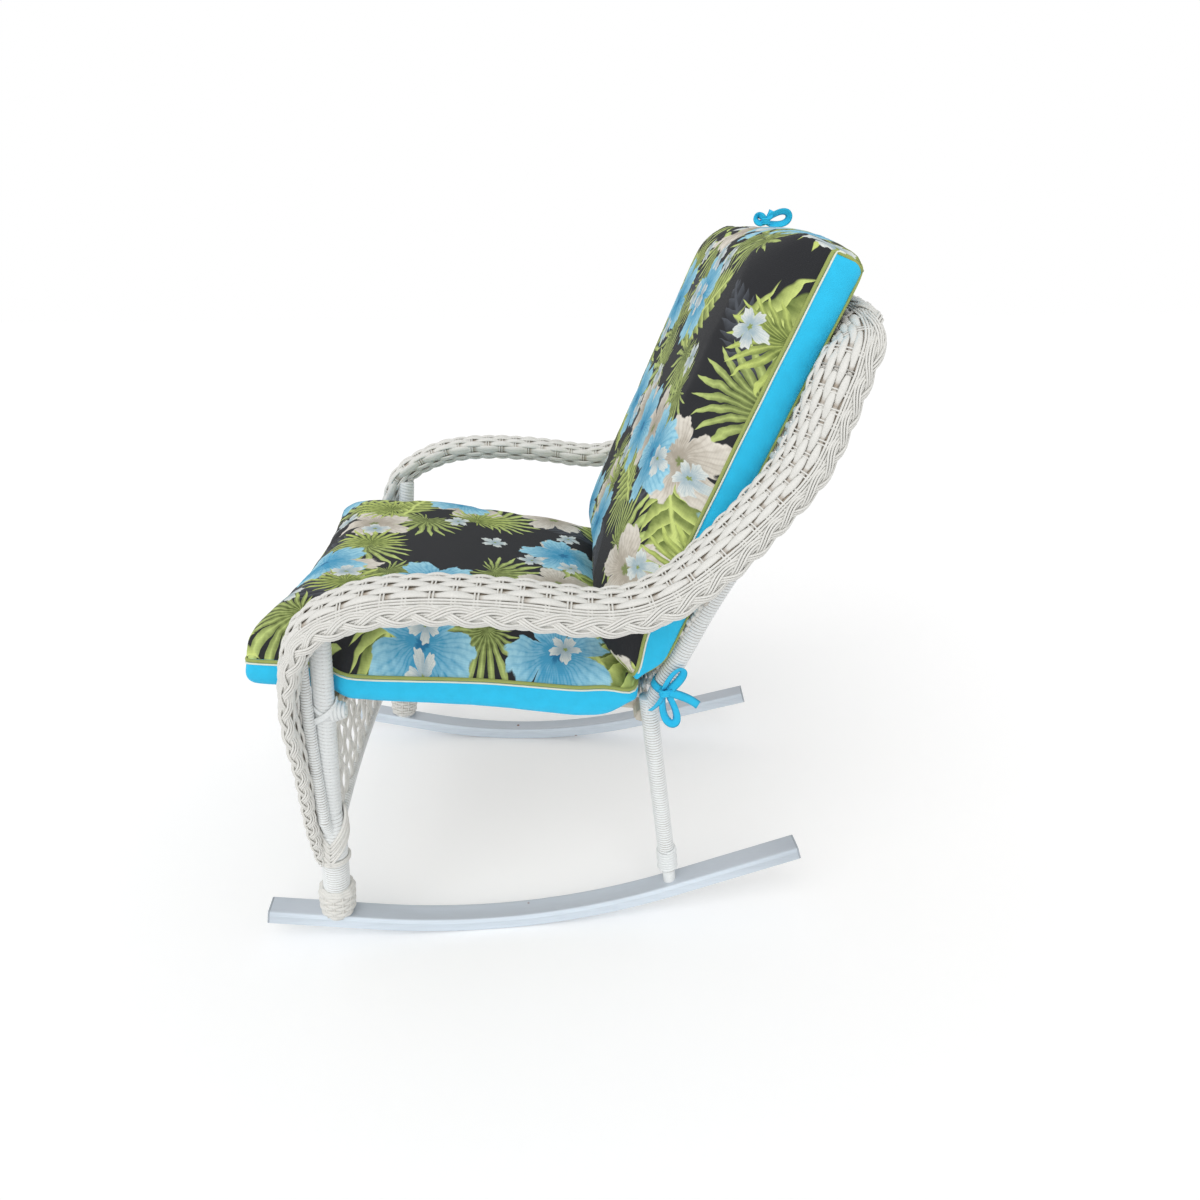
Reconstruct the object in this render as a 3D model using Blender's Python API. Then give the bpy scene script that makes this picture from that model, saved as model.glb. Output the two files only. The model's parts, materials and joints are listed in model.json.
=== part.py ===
"""A wicker rocking chair: bent tube rockers, a pole frame, woven bands and a hinged cushion.

Lengths are in metres and +Z is up. The chair faces -Y and its left side is at +X. While it is being
modelled, Y is measured from the point where the rockers touch the floor; at the end the root empty
puts the middle of the whole chair over the origin.
"""
import math
from collections import namedtuple

import bmesh
import bpy
from mathutils import Matrix, Vector

# Fits
GAP = 0.0003
HOLE_CLEARANCE = 0.0004

# The cushions' widths, which the frame is built round
SEAT_CUSHION_HALF_WIDTH = 0.288
BACK_CUSHION_HALF_WIDTH = 0.299

# Rockers: a bent rectangular tube with a dished top
ROCKER_WIDTH = 0.034
ROCKER_HEIGHT = 0.022
ROCKER_WALL = 0.0020
ROCKER_CORNER = 0.0020
ROCKER_RADIUS = 1.003
ROCKER_FACET = math.radians(2.0)
FRONT_FACETS = 4
REAR_FACETS = 7
ROCKER_FRONT_REACH = 0.326
ROCKER_REAR_REACH = 0.466
ROCKER_INSET = 0.021
ROCKER_HALF_SPACING = SEAT_CUSHION_HALF_WIDTH - ROCKER_INSET
ROCKER_TOE_IN = math.radians(3.87)
DISH_DEPTH = 0.0028
DISH_POINTS = 5
CAP_PLATE = 0.0025
CAP_PLUG = 0.012

# Legs and their screws
FRONT_FOOT = 0.228
REAR_FOOT = 0.2715
FRONT_LEG_RADIUS = 0.013
FRONT_FOOT_RADIUS = 0.018
FRONT_TENON_RADIUS = 0.0105
FRONT_LEG_SWELL = 0.225
FRONT_LEG_TAPER = 0.010
FRONT_LEG_HEAD_DROP = 0.044
FRONT_LEG_LEAN = Vector((0.083, 0.086, 1.0))
SHOULDER_LIFT = 0.002
SHOULDER_STEP = 0.0001
REAR_LEG_RADIUS = 0.010
# Head of the rear leg, from the middle of the back post where the rear rail meets it
REAR_LEG_HEAD_OFFSET = Vector((-0.0003, 0.0113, -0.0010))
ARM_BRACE_RADIUS = 0.0072
ARM_BRACE_FOOT = 0.240
ARM_BRACE_HEAD_DROP = 0.052
ARM_BRACE_FOOT_OFFSET = (0.0205, 0.0035)
ARM_BRACE_HEAD_OFFSET = (0.0110, 0.0185)
SCREW_SHANK = 0.0022
SCREW_HEAD = 0.0042
SCREW_LENGTH = 0.022

# Seat frame
SEAT_RAIL_HEIGHT = 0.388
SEAT_REAR_DROP = 0.042
REAR_RAIL_BEHIND = 0.0297
SEAT_RAIL_RADIUS = 0.011
SIDE_RAIL_RADIUS = 0.009
SIDE_RAIL_INSET = 0.073
SIDE_RAIL_SPREAD = SEAT_CUSHION_HALF_WIDTH - SIDE_RAIL_INSET
SEAT_BAR_RADIUS = 0.008
SEAT_BAR_SPACING = 0.150
SEAT_SHEET = 0.006
SEAT_SHEET_OVERHANG = 0.016

# Back frame
POST_RADIUS = 0.0135
POST_INSET = 0.0282
POST_HALF_SPREAD = SEAT_CUSHION_HALF_WIDTH - POST_INSET
POST_FOOT_DROP = 0.011
POST_LEAN = Vector((0.160, 0.430, 1.0))
POST_STRAIGHT = 0.220
BACK_RAKE = math.radians(23.3)
BACK_SHEET = 0.007
BACK_STAKE_RADIUS = 0.0045
BACK_STAKE_SPACING = 0.150
BACK_FOOT_INSET = 0.0248
BACK_FOOT_HALF_WIDTH = POST_HALF_SPREAD - BACK_FOOT_INSET
TOP_RAIL_RADIUS = 0.009

# Woven bands. A row of a route holds, in order: its place (see each route), the tilt in degrees, and
# the shares of the full width and depth that the band has there.
ARM_OVER_SEAT = 0.180
ARM_HEIGHT = SEAT_RAIL_HEIGHT + ARM_OVER_SEAT
ARM_BESIDE_CUSHION = 0.081
ARM_HALF_SPREAD = SEAT_CUSHION_HALF_WIDTH + ARM_BESIDE_CUSHION
ARM_WIDTH = 0.090
ARM_DEPTH = 0.046
ARM_POLE_RADIUS = 0.008
ARM_POLE_INSET = 0.018
BAND_WALL = 0.005
BAND_SIDES = 12
BACK_BESIDE_CUSHION = 0.044
BACK_HALF_SPREAD = BACK_CUSHION_HALF_WIDTH + BACK_BESIDE_CUSHION
BACK_BAND_WIDTH = 0.066
BACK_BAND_DEPTH = 0.040
RIM_OVER_SEAT = 0.474
RIM_HEIGHT = SEAT_RAIL_HEIGHT + RIM_OVER_SEAT
RIM_ARCH = 0.012
RIM_BEHIND = 0.0276
RIM_WIDTH = 0.064
RIM_DEPTH = 0.036
# Beside the front leg: share of the arm's height, reach outward, clearance in front of the leg
LEG_ROUTE = (
    (0.2641, 0.003, GAP, 0, 0.38, 0.39),
    (0.3785, 0.008, GAP, 0, 0.44, 0.41),
    (0.5634, 0.014, 0.009, 6, 0.56, 0.44),
    (0.7570, 0.020, 0.014, 10, 0.74, 0.52),
)
# Over the arm: inset from the arm's half spread, share of the way from the front leg to the back's
# plane, rise over the arm's height
ARM_ROUTE = (
    (0.022, -0.0039, -0.044, 16, 0.90, 0.78),
    (0.009, 0.1374, -0.004, 20, 1.00, 1.00),
    (0.003, 0.3049, 0.009, 20, 1.00, 1.00),
    (0.000, 0.5169, 0.002, 20, 1.00, 1.00),
    (0.000, 0.7289, -0.013, 20, 1.00, 1.00),
    (0.003, 0.8702, 0.005, 25, 0.92, 0.96),
    (0.010, 1.0014, 0.056, 35, 0.83, 0.92),
)
# Up the back: inset from the back's half spread, how far behind the back's plane, drop below the rim
BACK_ROUTE = (
    (-0.007, 0.0080, 0.174, 48, 1.00, 1.00),
    (0.000, 0.0239, 0.125, 55, 1.00, 1.00),
    (0.011, 0.0196, 0.036, 55, 1.00, 1.00),
)
# Along the rim: inset from the back's half spread, how far before its middle, share of its arch
RIM_ROUTE = (
    (0.036, 0.004, -0.30, 42, 1.00, 1.00),
    (0.120, 0.000, 0.50, 30, 1.00, 1.00),
)
RIM_TILT = 30

# Apron, collars and bindings
APRON_SHEET = 0.006
APRON_CROWN = 0.222
APRON_FOOT = 0.140
APRON_POLE_RADIUS = 0.0065
APRON_STEPS = 12
APRON_COLUMNS = 12
APRON_ROW = 0.040
APRON_STRIP = 0.010
COLLAR_HEIGHT = 0.044
COLLAR_RADIUS = 0.0255
COLLAR_FOOT_RADIUS = 0.0215
COLLAR_WAIST = 0.013
COLLAR_WAIST_RADIUS = 0.0245
WRAP_TURNS = 6
WRAP_CORD = 0.0026
WRAP_PITCH = 0.0058
WRAP_LIFT = 0.026
BINDING_CORD = 0.0026
BINDING_RISE = 0.018
BINDING_START = math.radians(-8)
BINDING_END = math.radians(112)

# Cushions
SEAT_CUSHION_LENGTH = 0.497
SEAT_CUSHION_FRONT = 0.305
BACK_CUSHION_LENGTH = 0.562
BACK_CUSHION_BOW = 0.018
BACK_CUSHION_LIFT = 0.062
BACK_CUSHION_GAP = 0.018
CUSHION_CORNER = 0.018
CUSHION_BOXING = 0.040
CUSHION_CROWN = 0.058
CUSHION_DRAW = 0.007
CUSHION_BULGE = 0.002
CUSHION_EDGE = 0.005
EDGE_POINTS = 6
# How the crown rises: distance in from the edge, share of the crown
CROWN_RISE = ((0.002, 0.24), (0.012, 0.54), (0.034, 0.80), (0.075, 0.94), (0.130, 0.99), (0.200, 1.0))
HINGE_THICKNESS = 0.003
HINGE_INSET = 0.053
HINGE_HALF_WIDTH = SEAT_CUSHION_HALF_WIDTH - HINGE_INSET
HINGE_HEIGHT = 0.016
HINGE_STEPS = 8

# Cloth ties; a bow's angles are measured from +Y towards +Z
TIE_WIDTH = 0.012
TIE_CLOTH = 0.0016
TIE_OVER_SEAT = 0.052
TIE_KNOT = 0.0085
TIE_LOOP = 0.034
TIE_LOOP_SPREAD = 0.014
TIE_TAIL = 0.036
TIE_TAIL_CURL = 0.35
REAR_BOW = (math.radians(52), math.radians(-38), math.radians(-62), math.radians(-105))
TOP_BOW = (math.radians(8), math.radians(166), math.radians(38), math.radians(138))
TOP_TIE_PLACE = -0.185
TOP_TIE_FRONT = 0.034
TOP_TIE_SLACK = 0.006

SIDES = (("left", 1), ("right", -1))

Knot = namedtuple("Knot", "at out tilt half_width half_depth")
Station = namedtuple("Station", "at along across normal half_width half_depth")


def clear_scene():
    for obj in list(bpy.data.objects):
        bpy.data.objects.remove(obj, do_unlink=True)


clear_scene()

PARTS = bpy.data.collections.new("wicker_rocking_chair")
CUTTERS = bpy.data.collections.new("cutters")
bpy.context.scene.collection.children.link(PARTS)
bpy.context.scene.collection.children.link(CUTTERS)

ROOT = bpy.data.objects.new("chair_root", None)
PARTS.objects.link(ROOT)


def finish(name, colour, roughness, metallic=0.0):
    material = bpy.data.materials.new(name)
    material.use_nodes = True
    shader = material.node_tree.nodes["Principled BSDF"]
    shader.inputs["Base Color"].default_value = (*colour, 1.0)
    shader.inputs["Roughness"].default_value = roughness
    shader.inputs["Metallic"].default_value = metallic
    return material


TUBE_PAINT = finish("painted_steel_tube", (0.62, 0.68, 0.74), 0.4, 0.3)
CAP_PLASTIC = finish("grey_plastic", (0.55, 0.58, 0.62), 0.5)
SCREW_STEEL = finish("zinc_steel", (0.56, 0.57, 0.58), 0.35, 1.0)
POLE_WRAP = finish("painted_pole_wrap", (0.76, 0.76, 0.74), 0.5)
POLE_CANE = finish("rattan_pole", (0.52, 0.40, 0.25), 0.6)
REED = finish("painted_reed_weave", (0.72, 0.71, 0.67), 0.55)
PRINT_CLOTH = finish("printed_cushion_cloth", (0.08, 0.09, 0.10), 0.85)
TIE_FABRIC = finish("turquoise_cloth", (0.03, 0.50, 0.78), 0.85)


# Building blocks

def to_mesh(name, fill):
    """Run fill on an empty bmesh and return the closed mesh with its faces pointing out."""
    bm = bmesh.new()
    fill(bm)
    bmesh.ops.recalc_face_normals(bm, faces=bm.faces)
    mesh = bpy.data.meshes.new(name)
    bm.to_mesh(mesh)
    bm.free()
    return mesh


def add_part(name, mesh, material, parent=ROOT, smooth=True):
    obj = bpy.data.objects.new(name, mesh)
    PARTS.objects.link(obj)
    obj.parent = parent
    mesh.materials.append(material)
    if smooth:
        mesh.shade_smooth()
        mesh.set_sharp_from_angle(angle=math.radians(40))
    return obj


def add_cutter(name, mesh, parent=ROOT):
    obj = bpy.data.objects.new(name, mesh)
    CUTTERS.objects.link(obj)
    obj.parent = parent
    obj.hide_render = True
    obj.display_type = "WIRE"
    return obj


def cut(obj, *cutters, operation="DIFFERENCE"):
    for cutter in cutters:
        modifier = obj.modifiers.new(cutter.name, "BOOLEAN")
        modifier.operation = operation
        modifier.solver = "EXACT"
        modifier.object = cutter


def join(obj, *pieces):
    cut(obj, *pieces, operation="UNION")


def curve_mesh(name, points, depth, resolution=2, radii=None):
    """Closed mesh of a bevelled curve, with its own radius at each point where radii are given."""
    curve = bpy.data.curves.new(name, "CURVE")
    curve.dimensions = "3D"
    curve.bevel_depth = depth
    curve.bevel_resolution = resolution
    curve.use_fill_caps = True
    spline = curve.splines.new("POLY")
    spline.points.add(len(points) - 1)
    for index, point in enumerate(points):
        spline.points[index].co = (*point, 1.0)
        spline.points[index].radius = radii[index] / depth if radii else 1.0
    holder = bpy.data.objects.new(name + "_curve", curve)
    CUTTERS.objects.link(holder)
    seen = holder.evaluated_get(bpy.context.evaluated_depsgraph_get())
    mesh = bpy.data.meshes.new_from_object(seen)
    bpy.data.objects.remove(holder, do_unlink=True)
    bpy.data.curves.remove(curve)
    bm = bmesh.new()
    bm.from_mesh(mesh)
    bmesh.ops.remove_doubles(bm, verts=bm.verts, dist=0.00001)
    bmesh.ops.recalc_face_normals(bm, faces=bm.faces)
    bm.to_mesh(mesh)
    bm.free()
    return mesh


def pole(name, points, radius, material, radii=None):
    return add_part(name, curve_mesh(name, points, radius, radii=radii), material)


def pole_room(name, points, radius, radii=None):
    """Cutter that leaves GAP round a pole of this route and radius."""
    wide = [r + GAP for r in radii] if radii else None
    return add_cutter(name, curve_mesh(name, points, radius + GAP, radii=wide))


def loft(bm, outer, inner=None):
    """Skin a row of like rings: a capped solid, or a tube with a wall when inner rings are given.

    The skin is split into triangles the same way each time, so a piece and the room cut for it match.
    """
    def skin(rings):
        rows = [[bm.verts.new(point) for point in ring] for ring in rings]
        count = len(rows[0])
        for near, far in zip(rows, rows[1:]):
            for i in range(count):
                k = (i + 1) % count
                bm.faces.new((near[i], near[k], far[k]))
                bm.faces.new((near[i], far[k], far[i]))
        return rows

    walls = skin(outer)
    if inner is None:
        bm.faces.new(walls[0])
        bm.faces.new(walls[-1])
        return
    bores = skin(inner)
    for rim, hole in ((walls[0], bores[0]), (walls[-1], bores[-1])):
        for i in range(len(rim)):
            k = (i + 1) % len(rim)
            bm.faces.new((rim[i], rim[k], hole[k], hole[i]))


def strap_mesh(name, points, across):
    """Flat strap of tie cloth along a route square to the direction across."""
    rings = []
    for i, point in enumerate(points):
        along = points[min(i + 1, len(points) - 1)] - points[max(i - 1, 0)]
        thick = along.cross(across).normalized() * TIE_CLOTH / 2
        wide = across * TIE_WIDTH / 2
        rings.append([point + wide + thick, point - wide + thick, point - wide - thick, point + wide - thick])
    return to_mesh(name, lambda bm: loft(bm, rings))


def ellipse(centre, a, b, count):
    turn = 2.0 * math.pi / count
    return [centre + a * math.cos(i * turn) + b * math.sin(i * turn) for i in range(count)]


def circle_axes(along):
    """Two unit vectors square to a direction."""
    first = along.cross(Vector((0, 1, 0))).normalized()
    return first, first.cross(along.normalized())


def blend(p0, p1, p2, p3, t):
    """Catmull-Rom value between p1 and p2."""
    return 0.5 * (2 * p1 + (p2 - p0) * t + (2 * p0 - 5 * p1 + 4 * p2 - p3) * t ** 2
                  + (3 * p1 - p0 - 3 * p2 + p3) * t ** 3)


def mirrored(point, side):
    return Vector((point.x * side, point.y, point.z))


# Rocker geometry: its side view is a chain of equal facets, with one facet flat on the floor

ROCKER_CHAIN_RADIUS = ROCKER_RADIUS / math.cos(ROCKER_FACET / 2)
FRONT_SLOPE = -ROCKER_FACET * (FRONT_FACETS + 1)
REAR_SLOPE = ROCKER_FACET * (REAR_FACETS + 1)


def bend_point(angle):
    drop = ROCKER_CHAIN_RADIUS * math.cos(angle)
    return Vector((0, ROCKER_CHAIN_RADIUS * math.sin(angle), ROCKER_RADIUS - drop))


BEND_FRONT = -ROCKER_FACET * (FRONT_FACETS + 0.5)
BEND_REAR = ROCKER_FACET * (REAR_FACETS + 0.5)


def rocker_line(y):
    """Point on the underside of a straight rocker end, and the directions along it and square up from it."""
    slope, start = (FRONT_SLOPE, bend_point(BEND_FRONT)) if y < 0 else (REAR_SLOPE, bend_point(BEND_REAR))
    point = Vector((0, y, start.z + (y - start.y) * math.tan(slope)))
    along = Vector((0, math.cos(slope), math.sin(slope)))
    up = Vector((0, -math.sin(slope), math.cos(slope)))
    return point, along, up


def rocker_section(point, up, inset, dish):
    """Ring of the tube's section; inset shrinks it to the bore, dish hollows its top."""
    half = ROCKER_WIDTH / 2 - inset
    corner = ROCKER_CORNER
    low, high = inset, ROCKER_HEIGHT - inset
    flat = [(-half + corner, low), (half - corner, low), (half, low + corner), (half, high - corner)]
    top = half - corner
    for i in range(DISH_POINTS + 2):
        across = top * (1 - 2 * i / (DISH_POINTS + 1))
        flat.append((across, high - dish * (1 - (across / top) ** 2)))
    flat += [(-half, high - corner), (-half, low + corner)]
    return [point + Vector((x, 0, 0)) + up * z for x, z in flat]


def rocker_rings(inset):
    front, front_along, front_up = rocker_line(-ROCKER_FRONT_REACH)
    rear, rear_along, rear_up = rocker_line(ROCKER_REAR_REACH)
    rings = [rocker_section(front + front_along * CAP_PLATE, front_up, inset, 0.0)]
    bends = FRONT_FACETS + REAR_FACETS + 2
    for i in range(bends):
        angle = BEND_FRONT + ROCKER_FACET * i
        up = Vector((0, -math.sin(angle), math.cos(angle)))
        dish = DISH_DEPTH * min(1.0, i / 2, (bends - 1 - i) / 2)
        rings.append(rocker_section(bend_point(angle), up, inset, dish))
    rings.append(rocker_section(rear - rear_along * CAP_PLATE, rear_up, inset, 0.0))
    return rings


def foot_frame(y):
    """Where a leg stands in the rocker: the inner floor, the top face and the directions there."""
    point, along, up = rocker_line(y)
    return point + up * ROCKER_WALL, point + up * ROCKER_HEIGHT, along, up


def base_matrix(side):
    shift = Matrix.Translation((side * ROCKER_HALF_SPACING, 0, 0))
    return shift @ Matrix.Rotation(side * ROCKER_TOE_IN, 4, "Z")


# Leg routes in the chair's frame

def leg_route(side, foot, lean):
    """Foot on the rocker's inner floor, top face point there, and the unit direction up the leg."""
    floor, top, along, up = foot_frame(foot)
    matrix = base_matrix(side)
    direction = mirrored(lean, side).normalized()
    square = (matrix.to_3x3() @ up).normalized()
    stand = math.tan(direction.angle(square)) * max(FRONT_TENON_RADIUS, REAR_LEG_RADIUS) + GAP
    return matrix @ floor + direction * stand, matrix @ top, direction


def on_leg(side, height):
    """Point on the front leg's axis at a height."""
    foot, _, direction = leg_route(side, -FRONT_FOOT, FRONT_LEG_LEAN)
    return foot + direction * ((height - foot.z) / direction.z)


def beside_leg(side, height, outward, forward):
    return on_leg(side, height) + Vector((side * outward, -forward, 0))


# The woven band's route, from the front foot over the arm and up the back to the middle of the rim

X_OUT = Vector((1, 0, 0))
Z_OUT = Vector((0, 0, 1))
CORNER_OUT = (X_OUT + Z_OUT).normalized()


def band_knots(side):
    knots = []
    for share, outward, clear, tilt, wide, deep in LEG_ROUTE:
        height = share * ARM_HEIGHT
        half_depth = deep * ARM_DEPTH / 2
        leg = FRONT_FOOT_RADIUS if height < FRONT_LEG_SWELL else FRONT_LEG_RADIUS
        at = beside_leg(1, height, outward, leg + clear + half_depth)
        knots.append(Knot(at, X_OUT, tilt, wide * ARM_WIDTH / 2, half_depth))
    reach = back_plane_y(ARM_HEIGHT) - SEAT_FRONT_Y
    for inset, share, rise, tilt, wide, deep in ARM_ROUTE:
        at = Vector((ARM_HALF_SPREAD - inset, SEAT_FRONT_Y + share * reach, ARM_HEIGHT + rise))
        knots.append(Knot(at, X_OUT, tilt, wide * ARM_WIDTH / 2, deep * ARM_DEPTH / 2))
    for inset, behind, drop, tilt, wide, deep in BACK_ROUTE:
        height = RIM_HEIGHT - drop
        at = Vector((BACK_HALF_SPREAD - inset, back_plane_y(height) + behind, height))
        knots.append(Knot(at, X_OUT, tilt, wide * BACK_BAND_WIDTH / 2, deep * BACK_BAND_DEPTH / 2))
    rim_y = back_plane_y(RIM_HEIGHT) + RIM_BEHIND
    for inset, forward, arch, tilt, wide, deep in RIM_ROUTE:
        at = Vector((BACK_HALF_SPREAD - inset, rim_y - forward, RIM_HEIGHT + arch * RIM_ARCH))
        out = CORNER_OUT if forward else Z_OUT
        knots.append(Knot(at, out, tilt, wide * RIM_WIDTH / 2, deep * RIM_DEPTH / 2))
    middle = Vector((0, rim_y, RIM_HEIGHT + RIM_ARCH))
    beyond = knots[-1]
    knots.append(Knot(middle, Z_OUT, RIM_TILT, RIM_WIDTH / 2, RIM_DEPTH / 2))
    knots.append(beyond._replace(at=mirrored(beyond.at, -1)))
    return [knot._replace(at=mirrored(knot.at, side), out=mirrored(knot.out, side)) for knot in knots]


BEND_KNOT = len(LEG_ROUTE)
BACK_KNOT = BEND_KNOT + len(ARM_ROUTE)
CORNER_KNOT = BACK_KNOT + len(BACK_ROUTE) - 1
MIDDLE_KNOT = CORNER_KNOT + len(RIM_ROUTE) + 1
STEPS_PER_KNOT = 2


def band_station(side, place):
    """The band's centre, directions and half sizes at a place counted in knots."""
    knots = band_knots(side)
    first = min(int(place), len(knots) - 2)
    t = place - first
    rows = [knots[max(0, min(len(knots) - 1, first + k))] for k in (-1, 0, 1, 2)]
    at = blend(*[row.at for row in rows], t)
    ahead = blend(*[row.at for row in rows], t + 0.01)
    behind = blend(*[row.at for row in rows], t - 0.01)
    along = (ahead - behind).normalized()
    near, far = rows[1], rows[2]
    out = near.out.lerp(far.out, t)
    level = (out - along * out.dot(along)).normalized()
    normal = level.cross(along) * side
    tilt = math.radians(near.tilt + (far.tilt - near.tilt) * t)
    across = level * math.cos(tilt) - normal * math.sin(tilt)
    face = normal * math.cos(tilt) + level * math.sin(tilt)
    half_width = near.half_width + (far.half_width - near.half_width) * t
    half_depth = near.half_depth + (far.half_depth - near.half_depth) * t
    return Station(at, along, across, face, half_width, half_depth)


def band_stations(side, start, end):
    count = round((end - start) * STEPS_PER_KNOT)
    return [band_station(side, start + (end - start) * i / count) for i in range(count + 1)]


def band_ring(station, grow):
    wide = station.across * (station.half_width + grow)
    deep = station.normal * (station.half_depth + grow)
    return ellipse(station.at, wide, deep, BAND_SIDES)


def band_mesh(name, stations, grow=0.0, wall=None):
    outer = [band_ring(station, grow) for station in stations]
    inner = [band_ring(station, -wall) for station in stations] if wall else None
    return to_mesh(name, lambda bm: loft(bm, outer, inner))


# Seat plane: it falls from the front legs to the rear rail, just behind the seat cushion

SEAT_CUSHION_REAR = SEAT_CUSHION_LENGTH - SEAT_CUSHION_FRONT
SEAT_FRONT_Y = on_leg(1, SEAT_RAIL_HEIGHT).y
SEAT_REAR_HEIGHT = SEAT_RAIL_HEIGHT - SEAT_REAR_DROP
SEAT_REAR_Y = SEAT_CUSHION_REAR + REAR_RAIL_BEHIND
SEAT_SLOPE = math.atan2(SEAT_REAR_DROP, SEAT_REAR_Y - SEAT_FRONT_Y)
SEAT_UP = Vector((0, math.sin(SEAT_SLOPE), math.cos(SEAT_SLOPE)))
SEAT_ALONG = Vector((0, math.cos(SEAT_SLOPE), -math.sin(SEAT_SLOPE)))


def post_point(side, height):
    """Point on the lower straight run of the back post, which meets the rear rail."""
    joint = Vector((POST_HALF_SPREAD, SEAT_REAR_Y, SEAT_REAR_HEIGHT))
    return mirrored(joint + POST_LEAN * ((height - joint.z) / POST_LEAN.z), side)


def rear_leg_head():
    return post_point(1, SEAT_REAR_HEIGHT) + REAR_LEG_HEAD_OFFSET


def rear_leg_lean():
    return rear_leg_head() - base_matrix(1) @ foot_frame(REAR_FOOT)[0]


def seat_point(x, y, lift):
    """Point over the plane of the seat rails' centre lines."""
    height = SEAT_RAIL_HEIGHT - (y - SEAT_FRONT_Y) * math.tan(SEAT_SLOPE)
    return Vector((x, y, height)) + SEAT_UP * lift


SEAT_SHEET_LIFT = SEAT_RAIL_RADIUS + GAP
CUSHION_LIFT = SEAT_SHEET_LIFT + SEAT_SHEET + GAP

# Back plane: the front of the woven back, leaning by the rake from a line on top of the woven seat

BACK_UP = Vector((0, math.sin(BACK_RAKE), math.cos(BACK_RAKE)))
BACK_FRONT = Vector((0, -math.cos(BACK_RAKE), math.sin(BACK_RAKE)))
BACK_LINE = seat_point(0, SEAT_CUSHION_REAR + BACK_CUSHION_GAP, CUSHION_LIFT)


def back_point(x, up, front):
    return BACK_LINE + Vector((x, 0, 0)) + BACK_UP * up + BACK_FRONT * front


def back_plane_y(height):
    return BACK_LINE.y + (height - BACK_LINE.z) * math.tan(BACK_RAKE)


# Pieces of the base

def make_base(name, side):
    base = bpy.data.objects.new(name + "_base", None)
    PARTS.objects.link(base)
    base.parent = ROOT
    base.location = (side * ROCKER_HALF_SPACING, 0, 0)
    base.rotation_euler.z = side * ROCKER_TOE_IN

    mesh = to_mesh(name + "_rocker", lambda bm: loft(bm, rocker_rings(0.0), rocker_rings(ROCKER_WALL)))
    rocker = add_part(name + "_rocker", mesh, TUBE_PAINT, base, smooth=False)
    make_cap(name + "_rocker_front_cap", -ROCKER_FRONT_REACH, 1, base)
    make_cap(name + "_rocker_rear_cap", ROCKER_REAR_REACH, -1, base)
    make_screw(name + "_front_leg_screw", -FRONT_FOOT, base, rocker)
    make_screw(name + "_rear_leg_screw", REAR_FOOT, base, rocker)
    return rocker


def make_cap(name, y, inward, base):
    point, along, up = rocker_line(y)
    step = along * inward
    shoulder = point + step * (CAP_PLATE - GAP)
    plate = [rocker_section(point, up, 0.0, 0.0), rocker_section(shoulder, up, 0.0, 0.0)]
    slim = ROCKER_WALL + GAP
    plug = [rocker_section(shoulder, up, slim, 0.0), rocker_section(point + step * CAP_PLUG, up, slim, 0.0)]
    add_part(name, to_mesh(name, lambda bm: loft(bm, plate + plug)), CAP_PLASTIC, base, smooth=False)


def make_screw(name, y, base, rocker):
    """Screw with a flat head sunk in the rocker's underside."""
    point, along, up = rocker_line(y)
    first, second = circle_axes(up)

    def ring(height, radius):
        return ellipse(point + up * height, first * radius, second * radius, 10)

    screw = [ring(GAP, SCREW_HEAD), ring(ROCKER_WALL, SCREW_SHANK), ring(SCREW_LENGTH, SCREW_SHANK)]
    add_part(name, to_mesh(name, lambda bm: loft(bm, screw)), SCREW_STEEL, base)
    room = [ring(-ROCKER_WALL, SCREW_HEAD + GAP), ring(GAP, SCREW_HEAD + GAP),
            ring(ROCKER_WALL, SCREW_SHANK + GAP), ring(SCREW_LENGTH + GAP, SCREW_SHANK + GAP)]
    cutter = add_cutter(name + "_room", to_mesh(name + "_room", lambda bm: loft(bm, room)), base)
    cut(rocker, cutter)


# Legs

def make_front_leg(name, side, rocker):
    foot, top, direction = leg_route(side, -FRONT_FOOT, FRONT_LEG_LEAN)
    shoulder = on_leg(side, top.z + FRONT_FOOT_RADIUS * math.tan(-FRONT_SLOPE) + SHOULDER_LIFT)
    swell = on_leg(side, FRONT_LEG_SWELL)
    neck = on_leg(side, FRONT_LEG_SWELL + FRONT_LEG_TAPER)
    head = on_leg(side, ARM_HEIGHT - FRONT_LEG_HEAD_DROP)
    points = [foot, shoulder, shoulder + direction * SHOULDER_STEP, swell, neck, head]
    radii = [FRONT_TENON_RADIUS] * 2 + [FRONT_FOOT_RADIUS] * 2 + [FRONT_LEG_RADIUS] * 2
    leg = pole(name + "_front_leg", points, FRONT_LEG_RADIUS, POLE_WRAP, radii)
    drill_rocker(name + "_front_tenon_hole", side, -FRONT_FOOT, direction, FRONT_TENON_RADIUS, rocker)
    cut(leg, bpy.data.objects[name + "_front_leg_screw_room"])
    return pole_room(name + "_front_leg_room", points, FRONT_LEG_RADIUS, radii)


def drill_rocker(name, side, y, direction, radius, rocker):
    """Hole through the rocker's top wall along the leg."""
    floor, _, _, _ = foot_frame(y)
    start = base_matrix(side) @ floor + direction * ROCKER_HEIGHT / 2
    points = [start, start + direction * 2 * ROCKER_HEIGHT]
    mesh = curve_mesh(name, points, radius + HOLE_CLEARANCE)
    cut(rocker, add_cutter(name, mesh))


def make_arm_brace(name, side, leg_room):
    low = beside_leg(side, ARM_BRACE_FOOT, *ARM_BRACE_FOOT_OFFSET)
    high = beside_leg(side, ARM_HEIGHT - ARM_BRACE_HEAD_DROP, *ARM_BRACE_HEAD_OFFSET)
    cut(pole(name + "_arm_brace", [low, high], ARM_BRACE_RADIUS, POLE_WRAP), leg_room)
    return pole_room(name + "_arm_brace_room", [low, high], ARM_BRACE_RADIUS)


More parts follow.
